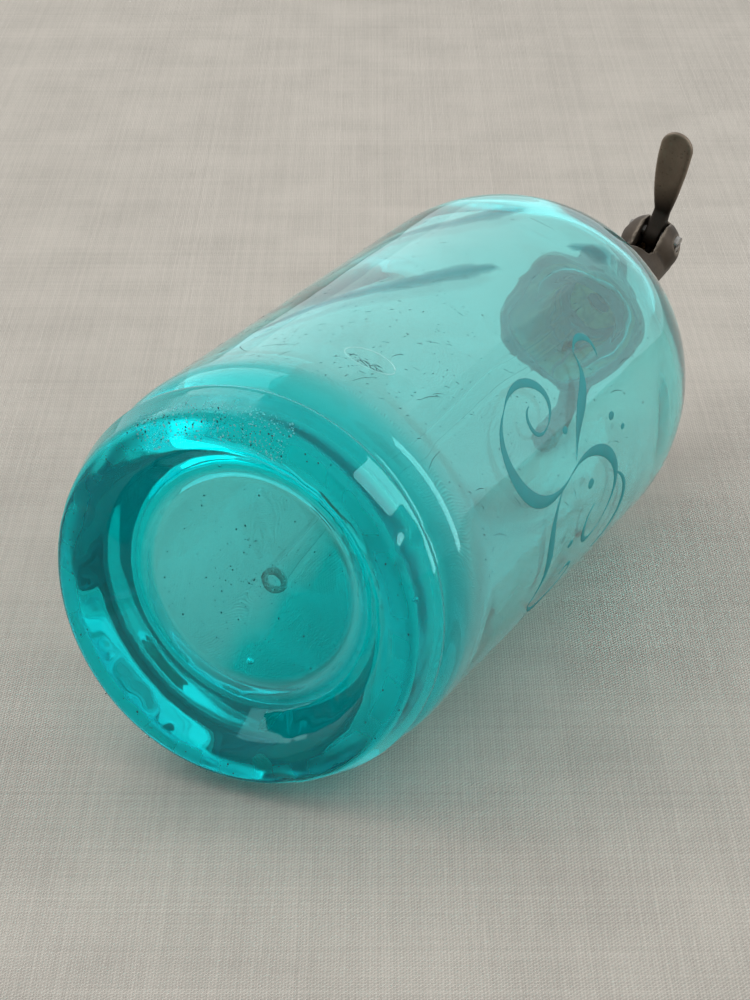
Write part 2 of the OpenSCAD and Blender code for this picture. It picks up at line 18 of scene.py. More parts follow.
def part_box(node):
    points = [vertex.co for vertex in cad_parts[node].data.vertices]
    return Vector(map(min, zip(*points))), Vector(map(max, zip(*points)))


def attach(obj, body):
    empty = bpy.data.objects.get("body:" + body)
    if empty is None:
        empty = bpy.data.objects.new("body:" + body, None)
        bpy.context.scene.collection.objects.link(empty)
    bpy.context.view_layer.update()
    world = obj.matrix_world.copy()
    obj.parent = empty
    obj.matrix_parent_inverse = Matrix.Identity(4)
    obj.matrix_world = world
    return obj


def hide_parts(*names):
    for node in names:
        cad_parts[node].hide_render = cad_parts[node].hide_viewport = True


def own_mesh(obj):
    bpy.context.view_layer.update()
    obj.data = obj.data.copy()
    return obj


bl_info = {
    "name": "Siphon bottle",
    "version": (1, 0, 0),
    "blender": (4, 5, 0),
    "location": "3D View > Sidebar > Siphon",
    "description": "Builds the glass, the pewter head and the stage of an antique siphon bottle",
    "category": "Object",
}

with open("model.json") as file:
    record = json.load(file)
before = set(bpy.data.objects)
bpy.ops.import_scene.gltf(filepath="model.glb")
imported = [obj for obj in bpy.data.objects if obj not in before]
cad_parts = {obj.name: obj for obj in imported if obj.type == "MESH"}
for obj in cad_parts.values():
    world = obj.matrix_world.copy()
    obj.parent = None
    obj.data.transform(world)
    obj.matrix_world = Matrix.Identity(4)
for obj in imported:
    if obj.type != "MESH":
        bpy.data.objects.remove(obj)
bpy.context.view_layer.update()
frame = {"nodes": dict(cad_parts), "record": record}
GLASS_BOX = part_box("glass_bottle")
FOOT_Y = float(GLASS_BOX[0][1])
BODY_R = float(GLASS_BOX[1][0] - GLASS_BOX[0][0]) / 2
MM = 0.001


# ---------------------------------------------------------------- sizes and looks

def size(name, value, text):
    """A length property in metres."""
    return FloatProperty(name=name, description=text, default=value, min=0, max=1,
                         unit="LENGTH", subtype="DISTANCE", precision=4)


def tint(name, value, text):
    """A colour property, linear."""
    return FloatVectorProperty(name=name, description=text, default=value, size=3,
                               min=0, max=1, subtype="COLOR")


def amount(name, value, text, top=10.0):
    """A plain number property."""
    return FloatProperty(name=name, description=text, default=value, min=0, max=top)


def number(name, value, text, top, low=0):
    """A whole number property."""
    return IntProperty(name=name, description=text, default=value, min=low, max=top)


def tilt(name, degrees, text):
    """An angle property, with its default in degrees."""
    return FloatProperty(name=name, description=text, default=math.radians(degrees),
                         subtype="ANGLE")


class SiphonGlass(bpy.types.PropertyGroup):
    """Sizes and colour of the glass bottle."""
    body_r: size("Body radius", 0.051, "Radius of the straight body")
    shoulder_z: size("Shoulder height", 0.163667, "Height at which the dome starts")
    heel_r: size("Heel radius", 0.012, "Rounding of the body above the waist")
    waist_z: size("Waist height", 0.0145, "Height of the middle of the waist")
    waist_in_r: size("Waist radius", 0.0472, "Radius at the bottom of the waist")
    waist_cut_r: size("Waist hollow", 0.0035, "Radius of the waist's hollow")
    foot_r: size("Foot radius", 0.050, "Radius of the foot's widest edge")
    foot_h: size("Foot height", 0.0105, "Height of the foot's widest edge")
    band_out_r: size("Band outer radius", 0.04448, "Outer radius of the band it stands on")
    band_in_r: size("Band inner radius", 0.04148, "Inner radius of the band it stands on")
    edge_r: size("Foot edge", 0.0029, "Rounding of the foot's outer edge")
    lip_r: size("Lip radius", 0.0065, "Rounding of the foot's inner edge")
    recess_slope: tilt("Recess slope", 58, "Slope of the recess wall")
    foot_flare: tilt("Foot flare", 18, "Outward lean of the foot's side")
    recess_h: size("Recess depth", 0.0104, "Depth of the ledge in the recess")
    disc_r: size("Disc radius", 0.02818, "Radius of the centre disc")
    disc_z: size("Disc height", 0.0126, "Height of the centre disc")
    wall: size("Wall", 0.0046, "Thickness of the body's wall")
    inside_z: size("Inside floor", 0.0206, "Height of the inside floor")
    corner_r: size("Inside corner", 0.014, "Rounding between inside floor and wall")
    neck_r: size("Neck radius", 0.013, "Outer radius of the neck")
    neck_hollow_r: size("Neck hollow", 0.004, "Rounding between dome and neck")
    neck_z: size("Neck height", 0.215973, "Height at which the straight neck starts")
    bore_r: size("Bore radius", 0.0094, "Radius of the bore in the neck")
    bead_r: size("Bead radius", 0.016, "Radius of the bead at the mouth")
    bead_z: size("Bead height", 0.221173, "Height of the bead's underside")
    mouth_z: size("Mouth height", 0.227173, "Height of the mouth")
    bead_round: size("Bead rounding", 0.0014, "Rounding of the bead's edges")
    tube_r: size("Tube radius", 0.0034, "Outer radius of the dip tube")
    tube_bore_r: size("Tube bore", 0.0019, "Bore radius of the dip tube")
    waviness: size("Waviness", 0.00012, "Unevenness of the outside")
    inner_waviness: size("Inner waviness", 0.00045, "Unevenness of the inside")
    dome_waviness: size("Dome waviness", 0.00055, "Unevenness inside the dome")
    around: number("Steps round", 256, "Grid steps round the axis", 720, 24)
    density: amount("Colour depth", 142.0, "Absorption of the glass per metre", 400)
    colour: tint("Glass colour", (0.0, 0.978, 0.984), "Colour that thick glass takes")
    ior: amount("Refraction", 1.52, "Index of refraction", 3)
    flourish: tint("Etched colour", (0.0, 0.20, 0.212), "Colour of the etched flourish")
    tube_ior: amount("Tube refraction", 1.012, "Index of refraction of the dip tube", 3)
    deep: tint("Deep colour", (0.0, 0.21, 0.26), "Tint of the thick streaks in the wall")
    foot_deep: tint("Foot colour", (0.0, 0.84, 0.88), "Tint of the thick foot")
    clear: amount("Clearness", 0.94, "Share of the light that goes through, past dust and wear", 1)
    # Painted shade: tint of the disc's right-hand and lower side, deeper than its other side
    disc_painted_shade: tint("Disc colour", (0.0, 1.0, 1.0), "Tint of the disc's deep side")
    speck: tint("Speck colour", (0.0, 0.05, 0.06), "Colour of pits and dark specks")
    pits: number("Pits", 900, "Number of dark pits in the foot", 2000)
    # Pale flakes: partly wear, partly a painted reflection at the top of the foot
    frost: number("Frost", 800, "Number of pale flakes rubbed on the foot", 3000)
    seeds: number("Seeds", 46, "Number of tiny bubbles in the glass", 400)


class SiphonMetal(bpy.types.PropertyGroup):
    """Looks of the head's metals and small parts."""
    pewter: tint("Pewter", (0.062, 0.048, 0.035), "Colour of the aged pewter")
    pewter_worn: tint("Worn pewter", (0.21, 0.178, 0.14), "Colour where it is rubbed bright")
    pewter_dark: tint("Dark pewter", (0.030, 0.023, 0.016), "Colour in the hollows")
    brass: tint("Brass", (0.45, 0.29, 0.11), "Colour of the brass parts")
    brass_dark: tint("Dark brass", (0.16, 0.09, 0.035), "Colour of the brass's tarnish")
    steel: tint("Steel", (0.36, 0.35, 0.33), "Colour of the spring's wire")
    rubber: tint("Rubber", (0.022, 0.020, 0.018), "Colour of the black rubber")
    fibre: tint("Fibre", (0.26, 0.09, 0.045), "Colour of the fibre washer")
    leather: tint("Leather", (0.14, 0.075, 0.038), "Colour of the leather washers")


class SiphonStage(bpy.types.PropertyGroup):
    """The cloth, the lights and the camera."""
    cloth: tint("Cloth", (0.405, 0.378, 0.335), "Colour of the pale cloth")
    pitch: size("Thread pitch", 0.00068, "Distance between the cloth's threads")
    world: amount("World light", 0.88, "Strength of the light from all round")
    key: amount("Key light", 16.6, "Power of the large soft lamp, in watts", 500)
    back: amount("Back light", 3.8, "Power of the low softbox behind the bottle", 500)
    strip: amount("Strip light", 4.8, "Power of the narrow lamp, in watts", 500)
    lens: amount("Lens", 104.4, "Focal length in millimetres", 300)
    azimuth: tilt("Azimuth", 24.94, "Camera's turn round the bottle")
    elevation: tilt("Elevation", 22.98, "Camera's height angle")
    aim: FloatVectorProperty(name="Aim", description="Foot's centre as the camera sees it: "
                             "right, down and ahead", default=(-0.03368, 0.02386, 0.67158),
                             size=3, subtype="XYZ", unit="LENGTH")


# ---------------------------------------------------------------- shader writing

class Wire:
    """A shader socket in Python arithmetic: each operator adds one Math node."""

    def __init__(self, pen, socket):
        self.pen, self.socket = pen, socket

    def _op(self, operation, *values, clamp=False):
        return self.pen.node("ShaderNodeMath", {"operation": operation, "use_clamp": clamp},
                             dict(enumerate(values)))

    def __add__(self, o): return self._op("ADD", self, o)
    def __radd__(self, o): return self._op("ADD", o, self)
    def __sub__(self, o): return self._op("SUBTRACT", self, o)
    def __rsub__(self, o): return self._op("SUBTRACT", o, self)
    def __mul__(self, o): return self._op("MULTIPLY", self, o)
    def __rmul__(self, o): return self._op("MULTIPLY", o, self)
    def sin(self): return self._op("SINE", self)
    def fract(self): return self._op("FRACT", self)
    def floor(self): return self._op("FLOOR", self)
    def cos(self): return self._op("COSINE", self)
    def clamp(self): return self._op("ADD", self, 0.0, clamp=True)
    def max(self, o): return self._op("MAXIMUM", self, o)

    def fade(self, low, high):
        """Smooth step: 0 below low, 1 above high; falls instead if low is above high."""
        if low > high:
            return 1.0 - self.fade(high, low)
        return self.pen.node("ShaderNodeMapRange", {"interpolation_type": "SMOOTHSTEP"},
                             {"Value": self, "From Min": low, "From Max": high})


class Pen:
    """Writes one material's nodes."""

    def __init__(self, name):
        self.material = bpy.data.materials.new(name)
        self.material.use_nodes = True
        self.tree = self.material.node_tree
        self.tree.nodes.clear()
        self.output = self.tree.nodes.new("ShaderNodeOutputMaterial")

    def node(self, kind, settings=None, inputs=None, out=0):
        """Adds a node, with its settings first and then its sockets' values or links."""
        made = self.tree.nodes.new(kind)
        for key, value in (settings or {}).items():
            setattr(made, key, value)
        for key, value in (inputs or {}).items():
            self.put(made.inputs[key], value)
        return Wire(self, made.outputs[out])

    def put(self, socket, value):
        """Links a wire to a socket, or sets the socket's own value."""
        if isinstance(value, Wire):
            self.tree.links.new(value.socket, socket)
        elif hasattr(value, "__len__") and socket.type == "RGBA" and len(value) == 3:
            socket.default_value = (*value, 1.0)
        else:
            socket.default_value = value

    def place(self):
        """Object coordinates."""
        return self.node("ShaderNodeTexCoord", out="Object")

    def attribute(self, name):
        """A vertex attribute of the mesh, as a number."""
        return self.node("ShaderNodeAttribute", {"attribute_name": name}, out="Fac")

    def xyz(self, vector):
        """The three parts of a vector."""
        made = self.tree.nodes.new("ShaderNodeSeparateXYZ")
        self.put(made.inputs[0], vector)
        return [Wire(self, s) for s in made.outputs]

    def vector(self, x, y, z=0.0):
        """A vector from three numbers or wires."""
        return self.node("ShaderNodeCombineXYZ", None, {"X": x, "Y": y, "Z": z})

    def noise(self, at, scale, detail=2.0, rough=0.5):
        """Fractal noise from 0 to 1."""
        return self.node("ShaderNodeTexNoise", None, {
            "Vector": at, "Scale": scale, "Detail": detail, "Roughness": rough})

    def cells(self, at, scale):
        """Distance to the nearest of scattered points."""
        return self.node("ShaderNodeTexVoronoi", None, {"Vector": at, "Scale": scale},
                         out="Distance")

    def mix(self, share, a, b):
        """Colour a where share is 0, b where it is 1."""
        return self.node("ShaderNodeMix", {"data_type": "RGBA"}, {0: share, 6: a, 7: b}, out=2)

    def stretch(self, at, scale=(1, 1, 1), turn=(0, 0, 0)):
        """Object coordinates scaled, then turned."""
        return self.node("ShaderNodeMapping", None,
                         {"Vector": at, "Rotation": turn, "Scale": scale})

    def chance(self, at):
        """A random number from 0 to 1 for each value of a vector."""
        return self.node("ShaderNodeTexWhiteNoise", None, {"Vector": at}, out="Value")

    def bump(self, height, depth, strength=1.0):
        """Surface relief: height is 0 to 1 and depth the relief in metres."""
        return self.node("ShaderNodeBump", None,
                         {"Height": height, "Distance": depth, "Strength": strength})

    def surface(self, **sockets):
        """A Principled BSDF to the output; names use _ for spaces."""
        shader = self.node("ShaderNodeBsdfPrincipled", None,
                           {k.replace("_", " "): v for k, v in sockets.items()}, out="BSDF")
        self.put(self.output.inputs["Surface"], shader)

    def depth_colour(self, colour, density):
        """Absorption inside glass: it takes density * (1 - colour) of the light per metre."""
        volume = self.node("ShaderNodeVolumeAbsorption", None,
                           {"Color": colour, "Density": density}, out="Volume")
        self.put(self.output.inputs["Volume"], volume)


# ---------------------------------------------------------------- surfaces

def arc(cx, cz, r, start, end, steps):
    """Points on a circle round (cx, cz), from angle start to end in degrees."""
    a = np.radians(np.linspace(start, end, steps))
    return np.column_stack([cx + r * np.cos(a), cz + r * np.sin(a)])


def resample(points, gap):
    """The same outline with a point about every gap(z), by arc length."""
    step = np.linalg.norm(np.diff(points, axis=0), axis=1)
    points = points[np.r_[True, step > 1e-7]]
    step = step[step > 1e-7]
    along = np.r_[0, np.cumsum(step)]
    fine = np.linspace(0, along[-1], 6000)
    at = np.column_stack([np.interp(fine, along, points[:, k]) for k in (0, 1)])
    density = 1 / gap(at[:, 1])
    count = np.r_[0, np.cumsum((density[1:] + density[:-1]) / 2 * np.diff(fine))]
    pick = np.interp(np.linspace(0, count[-1], int(count[-1]) + 2), count, fine)
    return np.column_stack([np.interp(pick, fine, at[:, k]) for k in (0, 1)])


def unit(rows):
    """Each row scaled to length 1."""
    return rows / np.linalg.norm(rows, axis=1)[:, None]


def outline_normals(points):
    """Unit normals of an outline, to the right of its direction of travel."""
    way = unit(np.gradient(points, axis=0))
    return np.column_stack([way[:, 1], -way[:, 0]])


def smooth_rows(values, times):
    """Softens an outline by averaging each point with its neighbours."""
    for _ in range(times):
        values[1:-1] = values[:-2] * 0.25 + values[1:-1] * 0.5 + values[2:] * 0.25
    return values


def quads(rows, columns, closed=True):
    """Faces of a grid of rows by columns, whose columns close round when closed is set."""
    i = np.arange(rows - 1)[:, None]
    j = np.arange(columns if closed else columns - 1)[None, :]
    k = (j + 1) % columns
    corners = [i * columns + j, i * columns + k, (i + 1) * columns + k, (i + 1) * columns + j]
    return np.stack(np.broadcast_arrays(*corners), -1).reshape(-1, 4)


def capped_rings(grid):
    """Vertices and faces of rings joined in order, closed at both ends by fans to a pole.

    grid is rings by steps by 3. The pole of each end is the mean of its ring.
    """
    rings, steps = grid.shape[:2]
    points = np.vstack([grid.reshape(-1, 3), grid[0].mean(0), grid[-1].mean(0)])
    faces = quads(rings, steps).tolist()
    low, high, base = rings * steps, rings * steps + 1, (rings - 1) * steps
    faces += [(low, (j + 1) % steps, j) for j in range(steps)]
    faces += [(base + j, base + (j + 1) % steps, high) for j in range(steps)]
    return points, faces


def mark(mesh, name, values):
    """Writes one number on each vertex, and 0 on those past the end of the values."""
    full = np.zeros(len(mesh.vertices), np.float32)
    full[:values.size] = values.ravel()
    mesh.attributes.new(name, "FLOAT", "POINT").data.foreach_set("value", full)


def gather(shapes):
    """Points and faces of many shapes as those of one mesh."""
    points, faces, count = [], [], 0
    for more, sides in shapes:
        points.append(more)
        faces += [tuple(i + count for i in side) for side in sides]
        count += len(more)
    return np.vstack(points), faces


def shades(colour, factor):
    """A colour made darker or lighter, kept within 1."""
    return tuple(min(1.0, c * factor) for c in colour)


def whole_turn(steps):
    """Angles once round, as one row."""
    return np.linspace(0, 2 * np.pi, steps, endpoint=False)[None, :]


def read(rows, key, wide, kind=float):
    """One property of a mesh's parts as an array of rows."""
    values = np.empty(len(rows) * wide, kind)
    rows.foreach_get(key, values)
    return values.reshape(-1, wide)


def rise(value, start, width):
    """0 before start, 1 a width past it and straight between; a negative width falls instead."""
    return np.clip((value - start) / width, 0, 1)


def mesh_object(name, points, faces):
    """A smooth-shaded mesh object at the origin from numpy points and a list of faces."""
    mesh = bpy.data.meshes.new(name)
    mesh.from_pydata(np.asarray(points).tolist(), [], [tuple(map(int, f)) for f in faces])
    mesh.update()
    mesh.polygons.foreach_set("use_smooth", np.ones(len(mesh.polygons), bool))
    made = bpy.data.objects.new(name, mesh)
    bpy.context.scene.collection.objects.link(made)
    return made


def face_outwards(obj):
    """Turns all faces over if the mesh holds a negative volume."""
    mesh = obj.data
    mesh.calc_loop_triangles()
    v, t = read(mesh.vertices, "co", 3), read(mesh.loop_triangles, "vertices", 3, np.int32)
    a, b, c = (v[t[:, k]] for k in range(3))
    if np.einsum("ij,ij->i", a, np.cross(b, c)).sum() < 0:
        mesh.flip_normals()


def waves(angle, height, seed, terms, long_wave, around=6):
    """Smooth unevenness from -1 to 1: a sum of cosines of angle and height with random phases.

    Each term is cos(n * angle + height / wavelength + phase), n a whole number up to around.
    """
    rng = np.random.default_rng(seed)
    total = 0
    for _ in range(terms):
        n = rng.integers(0, around + 1)
        k = rng.normal() / long_wave
        share = rng.uniform(0.4, 1)
        total = total + share * np.cos(n * angle + k * height + rng.uniform(0, 2 * np.pi))
    return total / terms ** 0.5


def on_bottle(radius, angle, height):
    """World points at a radius from the bottle's axis, an angle from the top and a height."""
    return np.stack([radius * np.sin(angle), height + FOOT_Y, BODY_R + radius * np.cos(angle)], -1)


def bottle_outline(g):
    """Outside and inside of the bottle as (radius, height) outlines.

    The outside runs from the centre of the foot's disc over the foot, waist, body, dome and neck
    to the rim of the mouth; the inside runs from there down the bore to the centre of the floor.
    """
    slope = math.degrees(g.recess_slope)
    flare = math.degrees(g.foot_flare)
    lip_in_r = g.band_in_r - g.lip_r * math.sin(g.recess_slope)
    lip_in_z = g.lip_r * (1 - math.cos(g.recess_slope))
    ledge_r = lip_in_r - (g.recess_h - lip_in_z) / math.tan(g.recess_slope)
    waist_mid = g.waist_in_r + g.waist_cut_r
    meet = math.degrees(math.acos((g.heel_r - g.body_r + waist_mid) / (g.heel_r + g.waist_cut_r)))
    heel_z = g.waist_z + math.sin(math.radians(meet)) * (g.heel_r + g.waist_cut_r)
    hollow = g.neck_r + g.neck_hollow_r
    lean = math.degrees(math.acos(hollow / (g.body_r + g.neck_hollow_r)))
    rim = 0.0009
    outside = np.vstack([
        [[0, g.disc_z + 0.0005]], [[g.disc_r * 0.5, g.disc_z + 0.0003]],
        [[g.disc_r - 0.0016, g.disc_z]], [[g.disc_r, g.recess_h + 0.0004]],
        arc(ledge_r - 0.0012, g.recess_h - 0.0012, 0.0012, 90, 90 - slope, 6),
        arc(g.band_in_r, g.lip_r, g.lip_r, -90 - slope, -90, 12),
        arc(g.band_out_r, g.edge_r, g.edge_r, -90, -flare, 10),
        arc(g.foot_r - rim, g.foot_h, rim, -flare, 70, 6),
        arc(waist_mid, g.waist_z, g.waist_cut_r, 250, 180 - meet, 12),
        arc(g.body_r - g.heel_r, heel_z, g.heel_r, -meet, 0, 12),
        arc(0, g.shoulder_z, g.body_r, 0, lean, 60),
        arc(hollow, g.neck_z, g.neck_hollow_r, 180 + lean, 180, 12),
        [[g.neck_r, g.bead_z - 0.0006]],
        arc(g.bead_r - g.bead_round, g.bead_z + g.bead_round, g.bead_round, -90, 0, 8),
        arc(g.bead_r - g.bead_round, g.mouth_z - g.bead_round, g.bead_round, 0, 90, 8),
    ])
    inner_r = g.body_r - g.wall
    lean = math.degrees(math.acos(g.bore_r / inner_r))
    top = g.shoulder_z + inner_r * math.sin(math.radians(lean))
    inside = np.vstack([
        arc(g.bore_r + 0.001, g.mouth_z - 0.001, 0.001, 90, 180, 6),
        [[g.bore_r, top + 0.0004]],
        arc(0, g.shoulder_z, inner_r, lean, 0, 60),
        arc(inner_r - g.corner_r, g.inside_z + g.corner_r, g.corner_r, 0, -90, 16),
        [[0, g.inside_z]],
    ])
    return outside, inside


def bubble(centre, sizes, turn, steps):
    """Points and faces of an egg-shaped hollow, with its faces pointing into the hollow.

    Point (u, v) is centre + turn * (a sin v cos u, b sin v sin u, c cos v).
    """
    v = np.linspace(0, np.pi, steps // 2 + 1)[1:-1][:, None]
    u = whole_turn(steps)
    shape = np.stack([np.sin(v) * np.cos(u), np.sin(v) * np.sin(u), np.cos(v) + 0 * u], -1)
    points, faces = capped_rings(shape)
    points[-2:] = [[0, 0, 1], [0, 0, -1]]
    points = (points * np.asarray(sizes)) @ np.asarray(turn).T + centre
    return points, faces


def swell(x, y, cx, cy, rx, ry, turn):
    """1 at a spot's centre and 0 at its rim: (1 - d^2)^2, where d is the scaled distance."""
    c, s = math.cos(turn), math.sin(turn)
    u, v = ((x - cx) * c + (y - cy) * s) / rx, ((y - cy) * c - (x - cx) * s) / ry
    return np.clip(1 - u * u - v * v, 0, 1) ** 2


def skin_push(g, r, angle, z):
    """How far the outside stands out from its outline: slow waves that die out at pole and neck."""
    calm = rise(r, 0, 0.02) * rise(z, 0.212, -0.01)
    return g.waviness * calm * waves(angle, z, 3, 14, 0.02)


def along_path(angle, height, path, wide):
    """1 on a smooth path of (degrees, metres) points on the body, falling to 0 at its edge.

    The path's half width grows from nothing at its first point to wide near its last one.
    """
    path = np.array(path)
    t = np.linspace(0, 1, 60)
    keys = np.linspace(0, 1, len(path))
    a = np.radians(np.interp(t, keys, path[:, 0]))
    h = np.interp(t, keys, path[:, 1])
    total = np.zeros(np.broadcast_shapes(angle.shape, height.shape))
    for a0, h0, t0 in zip(a, h, t):
        half = wide * (0.25 + 0.75 * t0) * min(1.0, (1 - t0) * 6 + 0.3)
        turn = (angle - a0 + np.pi) % (2 * np.pi) - np.pi
        d2 = ((turn * BODY_R) ** 2 + (height - h0) ** 2 * 0.35) / half ** 2
        total = np.maximum(total, np.clip(1 - d2, 0, 1))
    return total


# Thick streaks in the wall: the (degrees, metres) points of each one's middle line
STREAKS = (((-20.5, 0.0497), (-9, 0.0706), (3.5, 0.0881), (18.5, 0.1183)),
           ((-29, 0.094), (-23, 0.1295), (-7, 0.1403), (6.5, 0.1597)),
           ((28, 0.152), (33, 0.157), (37, 0.160)),
           ((-52, 0.030), (-44, 0.050), (-36, 0.066)))
STREAK_HALF = 0.0036

# Gaps between the grid's points in metres: outside on the foot, added to that on the body, inside
FOOT_GAP, BODY_GAP, INSIDE_GAP = 0.00066, 0.0016, 0.0023

# Chips struck off the foot: place across and up, two half sizes, turn, and depth
CHIPS = ((-0.0400, 0.0140, 0.0060, 0.0042, 0.4, 0.0009),
         (-0.0350, 0.0290, 0.0080, 0.0022, 0.9, 0.0006),
         (0.0290, -0.0330, 0.0095, 0.0036, 0.75, 0.0012),
         (0.0425, 0.0200, 0.0050, 0.0016, 1.4, 0.0006),
         (0.0120, -0.0440, 0.0050, 0.0022, 0.2, 0.0009),
         (0.0400, -0.0040, 0.0068, 0.0012, 1.5, 0.0005))

# Bubbles in the foot: degrees round, height, radius, and half sizes round, along and outwards
FOOT_BUBBLES = ((-174, 0.0150, 0.0218, (0.0010, 0.0010, 0.0009)),
                (65, 0.0040, 0.0405, (0.0007, 0.0008, 0.0007)),
                (80, 0.0050, 0.0445, (0.0006, 0.0006, 0.0006)),
                (-33, 0.0035, 0.0440, (0.0007, 0.0007, 0.0006)),
                (-18, 0.0160, 0.0300, (0.0006, 0.0006, 0.0006)))


class SIPHON_OT_glass(bpy.types.Operator):
    """Builds the glass bottle: uneven blown glass with seeds and a worn, chipped foot"""
    bl_idname = "siphon.glass"
    bl_label = "Glass bottle"

    def execute(self, context):
        g = context.scene.siphon_glass
        outside, inside = bottle_outline(g)
        outside = resample(outside, lambda z: FOOT_GAP + BODY_GAP * rise(z, 0.018, 0.02))
        inside = resample(inside, lambda z: INSIDE_GAP + 0 * z)
        outside, inside = smooth_rows(outside, 2), smooth_rows(inside, 2)
        angle = whole_turn(g.around)
        outer, inner = self.outer_skin(g, outside, angle), self.inner_skin(g, inside, angle)
        points, faces = capped_rings(np.vstack([outer[1:], inner[:-1]]))
        shell = mesh_object("glass_shell", points, faces)
        face_outwards(shell)
        seeds = mesh_object("seeds", *self.hollows(g))
        face_outwards(seeds)
        seeds.data.flip_normals()
        join(shell, seeds)

        r, z = outside[1:, :1], outside[1:, 1:]
        for name, values in wear_and_shade_marks(r, angle, z).items():
            mark(shell.data, name, np.clip(values, 0, 1))
        shell.data.materials.append(bottle_glass(g))
        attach(shell, "bottle")
        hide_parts("glass_bottle")
        return {"FINISHED"}

    def skin(self, outline, angle, push):
        """The outline spun round the axis, each point pushed along the outline's normal."""
        n = outline_normals(outline)
        r = outline[:, :1] + n[:, :1] * push
        z = outline[:, 1:] + n[:, 1:] * push
        return on_bottle(r, angle + 0 * r, z)

    def outer_skin(self, g, outline, angle):
        """Slow waves, ripples on the recess wall, foot and disc, less the chips of the foot.

        The heights of the ripples are in metres; low is 1 on the foot and 0 above its waist, and
        wall is 1 between the radii of the disc and the standing band.
        """
        r, z = outline[:, :1], outline[:, 1:]
        x, up = r * np.sin(angle), r * np.cos(angle)
        low = rise(z, 0.018, -0.006)
        wall = low * rise(r, 0.0405, -0.003) * rise(r, 0.0275, 0.002)
        push = skin_push(g, r, angle, z)
        push = push + 0.00010 * wall * waves(angle, r, 21, 16, 0.004, 40)
        push = push + 0.00008 * low * waves(angle, z, 8, 6, 0.014, 6) * rise(r, 0.03, 0.005)
        push = push + 0.00006 * rise(r, 0.0275, -0.003) * waves(x / 0.02, up, 5, 9, 0.012)
        for *spot, depth in CHIPS:
            push = push - depth * low * swell(x, up, *spot) ** 0.7
        return self.skin(outline, angle, push)

    def inner_skin(self, g, outline, angle):
        """Stronger waves in the body and the dome, and a floor that is thicker on one side.

        The floor leans by up to 2 mm each way; calm is 0 at its centre and in the neck.
        """
        r, z = outline[:, :1], outline[:, 1:]
        x, up = r * np.sin(angle), r * np.cos(angle)
        calm = rise(r, 0, 0.03) * rise(z, 0.205, -0.02)
        dome = rise(z, 0.150, 0.015) * calm
        push = -g.inner_waviness * calm * waves(angle, z, 11, 18, 0.018, 5)
        push = push + g.dome_waviness * dome * waves(angle, z, 41, 12, 0.0065, 7)
        push = push - rise(z, 0.026, -0.005) * 0.0020 * np.clip(-(x - up * 0.6) / 0.03, -1, 1)
        return self.skin(outline, angle, push)

    def hollows(self, g):
        """The bubbles: a few in the foot and small seeds all over the wall."""
        rng = np.random.default_rng(5)
        places = list(FOOT_BUBBLES)
        for _ in range(g.seeds):
            tall = rng.uniform(0.4, 1.6)
            size_r = rng.uniform(0.00012, 0.0003)
            places.append((rng.uniform(-180, 180), rng.uniform(0.022, 0.17),
                           BODY_R - g.wall / 2 + rng.uniform(-0.001, 0.001),
                           (size_r, size_r * tall * 1.5, size_r)))
        shapes = []
        for turn, height, radius, sizes in places:
            a = math.radians(turn)
            axes = [[math.cos(a), 0, -math.sin(a)], [0, 1, 0], [math.sin(a), 0, math.cos(a)]]
            shapes.append(bubble(on_bottle(radius, a, height), sizes, axes, 10))
        return gather(shapes)


def join(first, second):
    """Moves the second object's mesh into the first one."""
    both = bmesh.new()
    both.from_mesh(first.data)
    both.from_mesh(second.data)
    both.to_mesh(first.data)
    both.free()
    bpy.data.objects.remove(second)


def wear_and_shade_marks(r, angle, z):
    """Marks from 0 to 1 on the outside: where it is worn, chipped, deep in colour or thick, and the
    disc's painted shade.

    "shade" is painted shade: 1 on the disc's right-hand and lower part, which it tints deeper than
    the rest, and falls to 0 across a wavy line through the disc. "band" is the band it stands on,
    in patches, and at the top also the rim beside it.
    """
    x, up = r * np.sin(angle), r * np.cos(angle)
    patch = waves(angle, r, 31, 24, 0.0035, 40) * 0.5
    edge = rise(r, 0.0405, 0.0012) * rise(r, 0.0466, -0.0012) * rise(z, 0.0022, -0.001)
    top = rise(abs((angle + np.pi) % (2 * np.pi) - np.pi + 0.08), 0.42, -0.42) ** 0.5
    rim = rise(r, 0.0425, 0.001) * rise(z, 0.0075, -0.001)
    chips = np.maximum(swell(x, up, -0.0395, 0.0140, 0.0062, 0.0045, 0.4),
                       swell(x, up, 0.0290, -0.0330, 0.0100, 0.0036, 0.75))
    streaks = sum(along_path(angle, z, path, STREAK_HALF) ** 0.3 for path in STREAKS)
    # The disc's painted shade lies on one side of this wavy line
    side = (x - up * 0.75 - 0.002) + 0.002 * waves(x / 0.01, up, 17, 6, 0.006)
    band = edge * np.clip(0.85 + patch, 0, 1)
    return {"band": np.maximum(band, top * rim * np.clip(0.8 + patch, 0, 1)),
            "chip": rise(z, 0.014, -0.004) * chips ** 0.3,
            "deep": streaks * rise(r, 0.047, 0.001),
            "foot": rise(z, 0.030, -0.016) * np.clip((r - 0.0266) / 0.0025, 0.25, 1) + 0 * x,
            "shade": rise(side, 0, 0.010) * rise(r, 0.0268, -0.002) * rise(z, 0.018, -0.002)}


